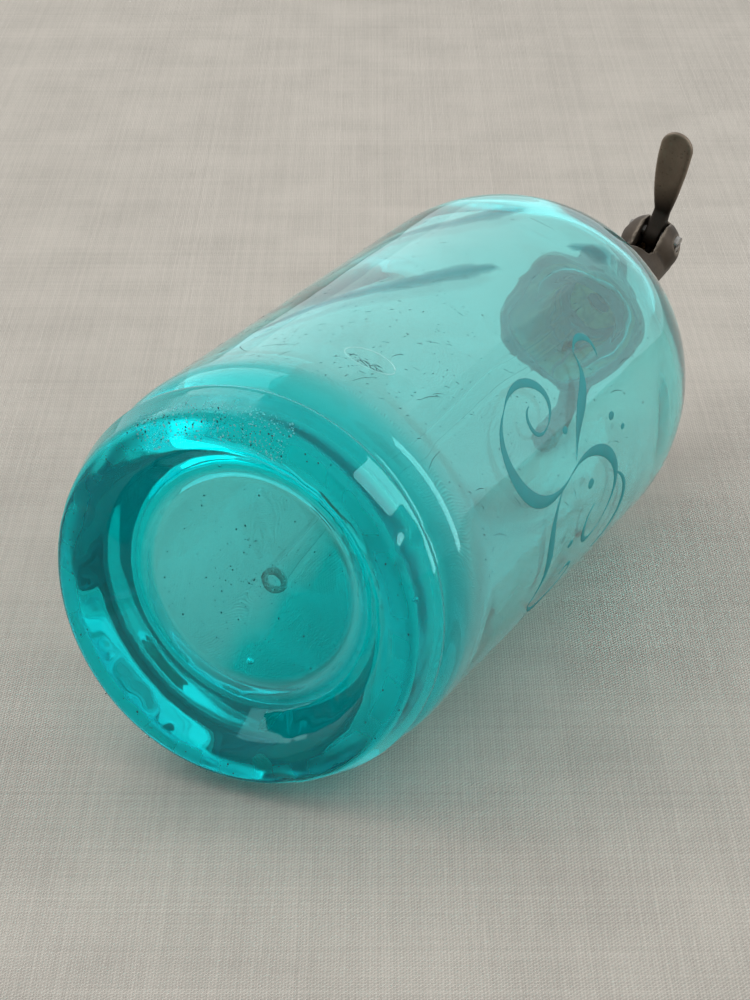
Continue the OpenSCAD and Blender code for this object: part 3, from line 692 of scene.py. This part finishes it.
def bottle_glass(g):
    """Turquoise glass that colours by thickness.

    The vertex marks say where it is deep in colour, worn rough by standing, or chipped, and
    where the disc's one side takes a deeper tint as painted shade.
    """
    pen = Pen("Turquoise glass")
    here = pen.place()
    deep, shade, band, chip = (pen.attribute(name) for name in ("deep", "shade", "band", "chip"))
    colour = pen.mix(pen.attribute("foot"), (0.90, 1.0, 1.0), tuple(g.foot_deep))
    # Painted shade: the disc's right-hand and lower side takes a deeper tint
    colour = pen.mix(shade, colour, tuple(g.disc_painted_shade))
    pen.surface(Base_Color=pen.mix(deep, colour, tuple(g.deep)),
                Roughness=0.014 + band * 0.34 + chip * 0.15, IOR=g.ior, Transmission_Weight=g.clear,
                Specular_Tint=(0.25, 0.92, 0.95, 1.0),
                Normal=pen.bump(pen.noise(here, 70.0, 0.0), 0.0003, 0.35))
    pen.depth_colour(tuple(g.colour), g.density)
    return pen.material


def ribbon(g, way, half, lift):
    """A thin closed strip that hugs the body, for one stroke of ornament or one scratch.

    way is the stroke's middle line as (arc length round the body, height) in metres, and half its
    half width at each point. Each ring is the strip's outline there: two corners below the glass,
    two edges at the surface and a crown above it.
    """
    along = np.gradient(way, axis=0)
    along /= np.linalg.norm(along, axis=1)[:, None] + 1e-12
    side = np.column_stack([along[:, 1], -along[:, 0]])
    across = np.array([-1, -0.9, 0, 0.9, 1, 0])[None, :, None]
    above = np.array([-0.4, 0.8, 1, 0.8, -0.4, -0.6])[None, :] * lift
    spots = way[:, None, :] + side[:, None, :] * across * half[:, None, None]
    turn, height = spots[..., 0] / BODY_R, spots[..., 1]
    radius = BODY_R + skin_push(g, BODY_R, turn, height) + above
    return capped_rings(on_bottle(radius, turn, height))


def bezier(points, steps):
    """A cubic curve through its first and last of four points, pulled by the other two."""
    t = np.linspace(0, 1, steps)[:, None]
    a, b, c, d = np.array(points, float)
    return a * (1 - t) ** 3 + 3 * b * t * (1 - t) ** 2 + 3 * c * t * t * (1 - t) + d * t ** 3


# Strokes of the scroll: widest half width and four control points (round and up the body), in mm
SCROLL = ((2.1, (47, 66), (55, 44), (80, 62), (72, 88)),
          (1.7, (72, 88), (66, 108), (82, 130), (95, 112)),
          (0.9, (95, 112), (101, 100), (89, 94), (86, 104)),
          (1.3, (47, 66), (38, 84), (52, 96), (57, 82)),
          (0.7, (57, 82), (60, 73), (51, 71), (50, 78)),
          (2.0, (73, 82), (84, 66), (92, 82), (102, 70)),
          (1.9, (70, 92), (58, 98), (58, 112), (47, 112)),
          (1.2, (82, 117), (88, 134), (106, 132), (106, 118)),
          (1.2, (102, 70), (110, 78), (112, 92), (105, 98)),
          (0.6, (105, 98), (101, 100), (99, 94), (102, 91)),
          (1.0, (47, 112), (42, 118), (46, 126), (52, 122)))

# Dots of the scroll: place round and up the body, and half width, in mm
DOTS = ((61, 90, 1.0), (79, 100, 1.3), (92, 90, 1.1), (67, 118, 1.1), (72, 124, 0.8), (90, 76, 0.8))

# Heights of the etched strokes and of the scratches above the glass, in metres
ETCH_LIFT, SCRATCH_LIFT = 0.00007, 0.00004

# The burst bubble: its centre (degrees round, metres up) and half sizes round and up
BURST = (18.5, 0.0425)
BURST_HALF = (0.0066, 0.0044)

# Number of scratches, the heights between which they lie, and the flecks in the bubble
SCRATCHES, SCRATCH_LOW, SCRATCH_HIGH, FLECKS = 420, 0.026, 0.158, 40

# Half sizes of the foot's pits and pale flakes, the commonest first, and their half thickness
PIT_SIZES, FROST_SIZES = (0.00008, 0.00013, 0.00022), (0.00009, 0.00015, 0.00026)
FLAKE_THICK = 0.00007


def enamel(name, colour, rough):
    """A flat, slightly cloudy colour, as acid leaves on glass."""
    pen = Pen(name)
    cloud = pen.noise(pen.place(), 260.0, 2.0)
    pen.surface(Base_Color=pen.mix(cloud, shades(colour, 0.8), shades(colour, 1.2)),
                Roughness=rough + 0.2 * cloud)
    return pen.material


class SIPHON_OT_etching(bpy.types.Operator):
    """Lays the etched scroll, the fine scratches and the foot's wear on the glass"""
    bl_idname = "siphon.etching"
    bl_label = "Etched scroll and wear"

    def execute(self, context):
        g = context.scene.siphon_glass
        self.strips("etched_scroll", g, self.scroll(), enamel("Etched scroll", g.flourish, 0.55))
        rng = np.random.default_rng(12)
        scratches = list(self.scratches(rng))

        # The burst bubble: a thin raised oval, thicker towards the neck, pale as a painted
        # highlight along its edge, with dark flecks on its side nearer the foot
        centre = np.array([BODY_R * math.radians(BURST[0]), BURST[1]])
        t = np.linspace(0.3, 2 * np.pi + 0.1, 60)
        oval = centre + np.column_stack([BURST_HALF[0] * np.cos(t), BURST_HALF[1] * np.sin(t)])
        # Pale colour: a painted highlight along the bubble's edge
        self.strips("bubble_rim", g, [(oval, 0.00010 + 0.00004 * np.sin(t), 0.00005)],
                    enamel("Bubble rim", (0.36, 0.62, 0.60), 0.25))
        scratches += self.dark_marks(centre)
        dark = enamel("Scratches", tuple(g.speck), 0.5)
        self.strips("scratches", g, scratches, dark)

        # The worn foot: dark pits on the standing band and the disc, and pale flakes at its top
        # that are partly wear and partly a painted reflection, laid only where a lamp's reflection
        # falls
        skin = read(bpy.data.objects["glass_shell"].data.vertices, "co", 3)
        across, over = skin[:, 0], skin[:, 2] - BODY_R
        r, turn = np.hypot(across, over), np.degrees(np.arctan2(across, over))
        height = skin[:, 1] - FOOT_Y
        stand = (r > 0.0408) & (r < 0.047) & (height < 0.004)
        groups = (skin[stand & (abs(turn + 8) < 28)], skin[stand],
                  skin[(r < 0.0265) & (height < 0.0145)])
        # Only the top of the standing band, where the lamp's reflection falls: painted reflection
        # over real wear
        rubbed_and_lit = skin[(r > 0.0395) & (r < 0.0478) & (abs(turn + 6) < 26) & (height < 0.005)]
        self.flakes("foot_pits", groups, g.pits, rng, PIT_SIZES, dark)
        self.flakes("foot_frost", (rubbed_and_lit,), g.frost, rng, FROST_SIZES,
                    enamel("Frosted wear", (0.16, 0.58, 0.62), 0.4))
        return {"FINISHED"}

    def scroll(self):
        """Middle line, half width and lift of each stroke and dot of the scroll."""
        t = np.linspace(0, 1, 40)
        for wide, *points in SCROLL:
            yield bezier(points, 40) * MM, (0.12 + wide * np.sin(np.pi * t) ** 1.3) * MM, ETCH_LIFT
        t = np.linspace(-0.98, 0.98, 12)
        for u, w, r in DOTS:
            way = np.column_stack([u + 0 * t, w + r * 1.5 * t]) * MM
            yield way, r * np.sqrt(1 - t * t) * MM, ETCH_LIFT

    def scratches(self, rng):
        """Short curved scratches round 25 degrees from the top, most near the foot, and specks."""
        t = np.linspace(-1, 1, 6)
        for _ in range(SCRATCHES):
            turn, height = np.radians(rng.normal(25, 50)), rng.uniform(SCRATCH_LOW, SCRATCH_HIGH)
            if rng.uniform() < 0.5:
                height = SCRATCH_LOW + (height - SCRATCH_LOW) * 0.5
            slant = rng.normal(0.5, 0.5)
            long = rng.choice([0.3, 0.5, 0.9, 2.2, 4.0], p=[0.5, 0.27, 0.14, 0.06, 0.03]) * MM
            way = np.column_stack([turn * BODY_R + long * t * math.sin(slant) + 0.15 * long * t * t,
                                   height + long * t * math.cos(slant)])
            speck = 0.1 * long * (long < 0.0006)
            half = (1.02 - t * t) * rng.uniform(0.04, 0.09) * MM + 0.00001 + speck * (1 - t * t)
            yield way, half, SCRATCH_LIFT

    def dark_marks(self, centre):
        """Dark flecks along the side of the burst bubble that is nearer the foot."""
        rng = np.random.default_rng(3)
        t = np.linspace(-1, 1, 6)
        for _ in range(FLECKS):
            turn, reach = rng.uniform(-3.05, -0.2), rng.uniform(0.40, 0.93)
            long = rng.choice([0.15, 0.3, 0.7]) * MM
            spot = np.array([BURST_HALF[0] * math.cos(turn), BURST_HALF[1] * math.sin(turn)])
            way = centre + spot * reach + np.column_stack([long * t, long * t * rng.normal(0, 0.6)])
            yield way, (1.02 - t * t) * rng.uniform(0.05, 0.17) * MM + 0.00001, SCRATCH_LIFT

    def strips(self, name, g, ways, finish):
        """One object from many strips."""
        self.lay(name, gather(ribbon(g, *way) for way in ways), finish)

    def flakes(self, name, groups, count, rng, sizes, finish):
        """Flat flakes strewn over groups of the glass's vertices in turn, small ones most often."""
        shapes = []
        for k in range(count):
            group = groups[k % len(groups)]
            spot = group[rng.integers(len(group))]
            spot = spot + (rng.normal(0, 0.0003), 0, rng.normal(0, 0.0003))
            wide = rng.choice(sizes, p=[0.55, 0.33, 0.12])
            half = wide, FLAKE_THICK, wide * rng.uniform(0.5, 1.6)
            shapes.append(bubble(spot, half, np.eye(3), 6))
        self.lay(name, gather(shapes), finish)

    def lay(self, name, mesh, finish):
        """Puts a mesh of small marks on the bottle."""
        made = mesh_object(name, *mesh)
        face_outwards(made)
        made.data.materials.append(finish)
        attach(made, "bottle")


class SIPHON_OT_tube(bpy.types.Operator):
    """Builds the glass dip tube, a tube that bends a little towards its foot"""
    bl_idname = "siphon.tube"
    bl_label = "Dip tube"

    def execute(self, context):
        g = context.scene.siphon_glass
        low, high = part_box("dip_tube")
        # It is straight from bend_y to its top, and below that an arc of bend degrees
        bend_y, bend_r, bend, straight = FOOT_Y + 0.1416777, 1.5, 4.4, 40
        t = np.radians(np.linspace(bend, 0, 60))
        y = np.r_[bend_y - bend_r * np.sin(t), np.linspace(bend_y, float(high[1]), straight)[1:]]
        down = np.r_[bend_r * (1 - np.cos(t)), np.zeros(straight - 1)]
        way = unit(np.column_stack([np.gradient(y), -np.gradient(down)]))
        steps = 40
        a = whole_turn(steps)

        def ring(r):
            side, lift = r * np.sin(a), r * np.cos(a)
            return np.stack([side + 0 * y[:, None], y[:, None] - way[:, 1:] * lift,
                             BODY_R - down[:, None] + way[:, :1] * lift], -1)

        outer, inner = ring(g.tube_r), ring(g.tube_bore_r)
        grid = np.vstack([outer, inner[::-1], outer[:1]])
        rows = len(grid) - 1
        faces = quads(len(grid), steps) % (rows * steps)
        tube = mesh_object("dip_tube_glass", grid[:-1].reshape(-1, 3), faces)
        face_outwards(tube)
        pen = Pen("Tube glass")
        here = pen.place()
        end = pen.xyz(here)[1].fade(float(low[1]) + 0.0016, float(low[1]) + 0.0004)
        # Darker in patches towards the tube's lower end
        dark_marks = end * pen.noise(here, 1500.0, 2.0).fade(0.25, 0.5)
        pen.surface(Base_Color=pen.mix(dark_marks, (0.97, 1.0, 1.0), (0.10, 0.12, 0.11)),
                    Roughness=0.02 + 0.3 * dark_marks, IOR=g.tube_ior, Transmission_Weight=1.0,
                    Normal=pen.bump(pen.noise(here, 90.0, 0.0), 0.0002, 0.3))
        pen.depth_colour((0.9, 0.98, 0.98), 10.0)
        tube.data.materials.append(pen.material)
        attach(tube, "bottle")
        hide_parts("dip_tube")
        return {"FINISHED"}


# ---------------------------------------------------------------- metal

def mesh_arrays(mesh):
    """Vertex places, edges and vertex normals of a mesh as numpy arrays."""
    return (read(mesh.vertices, "co", 3), read(mesh.edges, "vertices", 2, np.int32),
            read(mesh.vertex_normals, "vector", 3))


def spread(values, edges, times):
    """Each vertex's value replaced by the mean of its neighbours', so many times."""
    count = np.bincount(edges.ravel(), minlength=len(values))[:, None]
    values = values.reshape(len(count), -1)
    for _ in range(times):
        total = np.zeros_like(values)
        np.add.at(total, edges[:, 0], values[edges[:, 1]])
        np.add.at(total, edges[:, 1], values[edges[:, 0]])
        values = total / np.maximum(count, 1)
    return values


# How far a vertex of a casting moves towards its neighbours and back out, to round its edges
STEP_IN, STEP_OUT = 0.55, 0.57

# Small dents in the castings: height in metres, spread of the waves' radians per metre, and count
DENTS, DENT_RATE, DENT_TERMS = 0.00005, 420, 10


def worn_copy(node, name, voxel, body, slot, seed, soften):
    """A softened copy of a CAD node: remeshed, smoothed and slightly uneven.

    Each vertex moves towards the mean of its neighbours and back out in pairs of steps, which
    rounds the edges and keeps the volume. The attribute "wear" holds how far a vertex stands out
    above its surroundings, from 0 in a hollow over 0.5 to 1 on an edge.
    """
    piece = bpy.data.objects.new(name, frame["nodes"][node].data.copy())
    bpy.context.scene.collection.objects.link(piece)
    weld = piece.modifiers.new("Weld", "WELD")
    weld.merge_threshold = 1e-6
    remesh = piece.modifiers.new("Remesh", "REMESH")
    remesh.mode, remesh.voxel_size, remesh.adaptivity = "VOXEL", voxel, 0
    graph = bpy.context.evaluated_depsgraph_get()
    new = bpy.data.meshes.new_from_object(piece.evaluated_get(graph))
    piece.modifiers.clear()
    piece.data = new
    new.name = name
    v, e, n = mesh_arrays(new)
    # Round edges, then softer shape, then dents
    for _ in range(3):
        v = v + STEP_IN * (spread(v, e, 1) - v)
        v = v - STEP_OUT * (spread(v, e, 1) - v)
    v = v + (1.0 if soften > 1 else 0.5) * (spread(v, e, soften) - v)
    rng = np.random.default_rng(seed)
    bumps = 0
    for _ in range(DENT_TERMS):
        k = rng.normal(size=3) * DENT_RATE
        bumps = bumps + np.cos(v @ k + rng.uniform(0, 6.3))
    v = v + n * (bumps[:, None] / DENT_TERMS - 0.3) * DENTS
    new.vertices.foreach_set("co", v.ravel())
    new.update()
    v, e, n = mesh_arrays(new)
    wide = spread(v, e, 4)
    stand = ((v - wide) * n).sum(1)
    stand = spread(stand[:, None], e, 1)[:, 0] / voxel
    mark(new, "wear", np.clip(0.5 + stand * 1.4, 0, 1))
    new.polygons.foreach_set("use_smooth", np.ones(len(new.polygons), bool))
    new.materials.clear()
    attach(piece, body)
    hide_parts(node)
    return piece


def pewter_material(m, name, light=1.0, root=None):
    """Dull cast pewter: dark in its hollows, brighter on its worn edges, with pits and scratches.

    light scales its colours, and above 1 makes a lit copy with painted light; root is an axis and
    the two places between which it goes dark with painted shade.
    """
    pen = Pen(name)
    here = pen.place()
    broad = pen.noise(here, 110.0, 3.0)
    fine = pen.noise(here, 900.0, 4.0, 0.6)
    pits = pen.cells(here, 620.0).fade(0.20, 0.08) * pen.noise(here, 150.0).fade(0.45, 0.6)
    wear = pen.attribute("wear")
    edge = (wear + fine * 0.16 - 0.08).fade(0.60, 0.92)
    hollow = (wear + fine * 0.12 - 0.06).fade(0.44, 0.24)
    brush = pen.noise(pen.stretch(here, (1, 0.15, 1), (0.4, 0, 0.3)), 1500.0, 2.0)
    colour = pen.mix((broad * 1.5 - 0.25).clamp(), shades(m.pewter, 0.62 * light),
                     shades(m.pewter, 1.25 * light))
    colour = pen.mix(fine.fade(0.55, 0.75) * 0.5, colour, tuple(m.pewter_dark))
    colour = pen.mix(edge * 0.8, colour, tuple(m.pewter_worn))
    colour = pen.mix(hollow.max(pits) * 0.85, colour, tuple(m.pewter_dark))
    # Painted shade: dark towards the lever's root, where it sits in the head's slot
    if root:
        axis, *ends = root
        shadow = pen.xyz(here)[axis].fade(*ends) * 0.93
        colour = pen.mix(shadow, colour, shades(m.pewter_dark, 0.35))
    rough = 0.40 + broad * 0.12 + fine * 0.16 - edge * 0.12 + hollow * 0.2 + brush * 0.05
    relief = fine * 0.5 + broad * 0.5 - pits * 0.8 + brush * 0.12
    pen.surface(Base_Color=colour, Roughness=rough, Metallic=0.72 - hollow * 0.3 - pits * 0.3,
                Normal=pen.bump(relief, 0.0001, 0.7))
    return pen.material


def plain_metal(name, bright, dark, rough, scale=140.0):
    """A machined metal with tarnish in clouds and fine turning marks."""
    pen = Pen(name)
    here = pen.place()
    cloud = pen.noise(here, scale, 4.0, 0.6)
    marks = pen.noise(pen.stretch(here, (0.3, 12, 0.3)), 500.0, 2.0)
    colour = pen.mix(cloud.fade(0.40, 0.66), tuple(bright), tuple(dark))
    pen.surface(Base_Color=colour, Roughness=rough + cloud * 0.25 + marks * 0.06, Metallic=1.0,
                Normal=pen.bump(marks * 0.5 + cloud * 0.5, 0.00005, 0.5))
    return pen.material


def soft_matter(name, colour, rough, scale):
    """Rubber, fibre or leather: matte, mottled and slightly pebbled."""
    pen = Pen(name)
    here = pen.place()
    cloud = pen.noise(here, 200.0, 3.0)
    pebble = pen.cells(here, scale)
    pen.surface(Base_Color=pen.mix(cloud, shades(colour, 0.7), shades(colour, 1.35)),
                Roughness=rough + cloud * 0.15,
                Normal=pen.bump(pebble * 0.6 + cloud * 0.4, 0.0001, 0.6))
    return pen.material


# Cast pieces: CAD node, new name, voxel of its mesh in metres, body, seed and steps of softening
CASTINGS = (("head_body", "head_casting", 0.00052, "bottle", 1, 1),
            ("neck_ring", "neck_ring_casting", 0.00046, "bottle", 2, 1),
            ("spring_cap", "cap_casting", 0.00034, "bottle", 3, 1),
            ("lever", "lever_casting", 0.00030, "lever", 4, 14))

# Painted light and shade on the lever: how much lighter than the head its lit copy of the pewter
# is, and where along z its root goes dark with painted shade where it sits in the head's slot
LEVER_PAINTED_LIGHT, LEVER_ROOT_SHADE = 3.2, (2, 0.080, 0.067)


class SIPHON_OT_head(bpy.types.Operator):
    """Softens the pewter castings and gives the head's parts their finishes"""
    bl_idname = "siphon.head"
    bl_label = "Pewter head"

    def execute(self, context):
        m = context.scene.siphon_metal
        pewter = pewter_material(m, "Aged pewter")
        # The lever's pewter is a lit copy of the head's, with painted light, and painted shade at
        # its root
        painted_lever_pewter = pewter_material(m, "Lever pewter", LEVER_PAINTED_LIGHT, LEVER_ROOT_SHADE)
        for node, name, voxel, body, seed, soften in CASTINGS:
            made = worn_copy(node, name, voxel, body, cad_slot(node), seed, soften)
            made.data.materials.append(painted_lever_pewter if node == "lever" else pewter)
        brass = plain_metal("Old brass", m.brass, m.brass_dark, 0.28)
        steel = plain_metal("Spring steel", m.steel, shades(m.steel, 0.5), 0.25, 500.0)
        rubber = soft_matter("Black rubber", m.rubber, 0.6, 1500.0)
        fibre = soft_matter("Pressed fibre", m.fibre, 0.75, 2500.0)
        leather = soft_matter("Leather", m.leather, 0.7, 1100.0)
        for finish, names in (
                (steel, "lever_pin"),
                (brass, "tube_nut collet_half_left collet_half_right gland_nut"
                        " valve_seat washer_screw valve_stem spring_plate"),
                (rubber, "tube_sleeve neck_gasket valve_washer"),
                (fibre, "seat_gasket"), (leather, "packing_ring cap_washer")):
            for name in names.split():
                slots = frame["nodes"][name].data.materials
                slots.clear()
                slots.append(finish)
        self.spring(steel)
        return {"FINISHED"}

    def spring(self, steel):
        """The valve spring: a round wire along a helix, its ends closed by fans.

        The stem moves 2.2 mm; the coils lie closer together towards both ends.
        """
        low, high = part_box("valve_spring")
        centre_x, centre_z = (low[0] + high[0]) / 2, (low[2] + high[2]) / 2
        wire, mean, turns, spare = 0.00044, 0.0039, 4, 0.00001
        t = np.linspace(0, 1, 160)
        turn = 2 * np.pi * turns * t
        y = np.interp(t, [0, 0.14, 0.86, 1], [0, 0.09, 0.91, 1])
        y = low[1] + wire + spare + y * (high[1] - low[1] - 2 * wire - 2 * spare)
        b = whole_turn(12)
        r = mean + wire * np.cos(b)
        turn, y = turn[:, None], y[:, None]
        grid = np.stack([centre_x + r * np.sin(turn), y + wire * np.sin(b),
                         centre_z + r * np.cos(turn)], -1)
        points, faces = capped_rings(grid)
        coil = mesh_object("spring_coil", points, faces)
        face_outwards(coil)
        coil.data.materials.append(steel)
        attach(coil, "bottle")
        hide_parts("valve_spring")
        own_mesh(coil)


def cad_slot(node):
    """The record's material slot of a CAD node."""
    return next(row["material_slot"] for row in frame["record"]["subparts"] if row["node"] == node)


# Lamps: name, place, point it looks at, width and height, in metres; its power is a setting
LAMPS = (("Key", (-1.3, 0.1, 1.5), (0, 0, 0.05), 1.8, 1.5),
         ("Back", (-0.7, 2.9, 1.25), (0, 0, 0.05), 3.2, 1.4),
         ("Strip", (0.88, 0.35, 0.45), (0, -0.12, 0.05), 0.25, 1.15))

# Light passes through many surfaces of thick glass before it comes out
BOUNCES = 24


def linen(s):
    """Plain weave: two sets of uneven threads that pass over and under each other.

    Each thread is half a sine wave across and a cosine wave along, and the higher set shows.
    """
    pen = Pen("Linen")
    here = pen.stretch(pen.place(), turn=(0, 0, -s.azimuth))
    x, y, _ = pen.xyz(here)

    def long_noise(along, across, scale):
        """Noise drawn out along the threads of one set."""
        return pen.noise(pen.stretch(here, (along, across, 1)), scale, 2.0)

    slow = pen.noise(here, 28.0, 2.0)
    a = x * (1 / s.pitch) + (long_noise(9, 0.6, 60.0) - 0.5) * 1.1
    b = y * (1 / s.pitch) + (long_noise(0.6, 9, 60.0) - 0.5) * 1.1
    row, column = a.floor(), b.floor()
    warp = (a.fract() * math.pi).sin() * (0.6 + 0.4 * ((b + row) * math.pi).cos())
    weft = (b.fract() * math.pi).sin() * (0.6 - 0.4 * ((a + column) * math.pi).cos())
    height = warp.max(weft)
    thread = pen.chance(pen.vector(row, 0.0)) * 0.5 + pen.chance(pen.vector(0.0, column, 3.0)) * 0.5
    slub = long_noise(14, 1.2, 110.0) * 0.5 + long_noise(1.2, 14, 110.0) * 0.5
    # Share of the light colour: the weave, darker between the threads as painted shade, then single
    # threads, thick places and slow patches
    shade = 0.57 + 0.44 * height + 0.18 * (thread - 0.5) + 0.26 * (slub - 0.5) + 0.34 * (slow - 0.5)
    pen.surface(Base_Color=pen.mix(shade.clamp(), shades(s.cloth, 0.35), shades(s.cloth, 1.28)),
                Roughness=0.9, Specular_IOR_Level=0.2,
                Normal=pen.bump(height * 0.8 + slub * 0.6, s.pitch * 0.5))
    return pen.material


class SIPHON_OT_stage(bpy.types.Operator):
    """Sets up the pale cloth, the lights and the camera"""
    bl_idname = "siphon.stage"
    bl_label = "Stage"

    def execute(self, context):
        s = context.scene.siphon_stage
        # Cloth: one flat sheet, with its points closer together near the bottle
        rows, near, far, shift = 81, 0.6, 3.4, 0.6
        side = np.linspace(-1, 1, rows)
        side = np.sign(side) * (abs(side) * near + abs(side) ** 5 * far)
        grid = np.stack(np.broadcast_arrays(side[None, :], side[:, None] + shift, 0.0), -1)
        cloth = mesh_object("cloth", grid.reshape(-1, 3), quads(rows, rows, closed=False))
        cloth.data.materials.append(linen(s))

        world = bpy.data.worlds.new("Studio")
        context.scene.world = world
        world.use_nodes = True
        light = world.node_tree.nodes["Background"].inputs
        light["Color"].default_value = (1, 1, 1, 1)
        light["Strength"].default_value = s.world
        for name, place, look_at, wide, high in LAMPS:
            data = bpy.data.lights.new(name, "AREA")
            data.shape, data.size, data.size_y = "RECTANGLE", wide, high
            data.energy = getattr(s, name.lower())
            way = (Vector(look_at) - Vector(place)).to_track_quat("-Z", "Y")
            lamp = bpy.data.objects.new(name, data)
            lamp.matrix_world = Matrix.Translation(place) @ way.to_matrix().to_4x4()
            lamp.visible_transmission = name != "Strip"
            context.scene.collection.objects.link(lamp)

        right = Vector((math.cos(s.azimuth), math.sin(s.azimuth), 0))
        ahead = Vector((-math.sin(s.azimuth) * math.cos(s.elevation),
                        math.cos(s.azimuth) * math.cos(s.elevation), -math.sin(s.elevation)))
        up = right.cross(ahead)
        foot = Vector((0, FOOT_Y, BODY_R))
        place = foot - s.aim[0] * right + s.aim[1] * up - s.aim[2] * ahead
        data = bpy.data.cameras.new("Camera")
        data.lens, data.sensor_width = s.lens, 36
        camera = bpy.data.objects.new("Camera", data)
        turn = Matrix((right, up, -ahead)).transposed().to_4x4()
        camera.matrix_world = Matrix.Translation(place) @ turn
        context.scene.collection.objects.link(camera)
        context.scene.camera = camera
        context.scene.view_settings.view_transform = "Standard"
        cycles = context.scene.cycles
        cycles.max_bounces = cycles.transmission_bounces = cycles.glossy_bounces = BOUNCES
        return {"FINISHED"}


class SIPHON_PT_panel(bpy.types.Panel):
    """Sidebar panel with the steps and their settings"""
    bl_idname = "SIPHON_PT_panel"
    bl_label = "Siphon bottle"
    bl_space_type = "VIEW_3D"
    bl_region_type = "UI"
    bl_category = "Siphon"

    def draw(self, context):
        for step in STEPS:
            self.layout.operator(step.bl_idname)
        for group in GROUPS:
            box = self.layout.box()
            settings = getattr(context.scene, group)
            for name in settings.bl_rna.properties.keys():
                if name not in ("rna_type", "name"):
                    box.prop(settings, name)


STEPS = (SIPHON_OT_glass, SIPHON_OT_etching, SIPHON_OT_tube, SIPHON_OT_head, SIPHON_OT_stage)
GROUPS = {"siphon_glass": SiphonGlass, "siphon_metal": SiphonMetal, "siphon_stage": SiphonStage}


def register():
    """Registers the classes and the settings."""
    for name, group in GROUPS.items():
        bpy.utils.register_class(group)
        setattr(bpy.types.Scene, name, PointerProperty(type=group))
    for step in STEPS:
        bpy.utils.register_class(step)
    bpy.utils.register_class(SIPHON_PT_panel)


def unregister():
    """Takes the classes and the settings away."""
    bpy.utils.unregister_class(SIPHON_PT_panel)
    for step in reversed(STEPS):
        bpy.utils.unregister_class(step)
    for name, group in GROUPS.items():
        delattr(bpy.types.Scene, name)
        bpy.utils.unregister_class(group)


def main():
    """Builds every piece in order."""
    register()
    for step in STEPS:
        group, name = step.bl_idname.split(".")
        getattr(getattr(bpy.ops, group), name)()


if __name__ == "__main__":
    main()
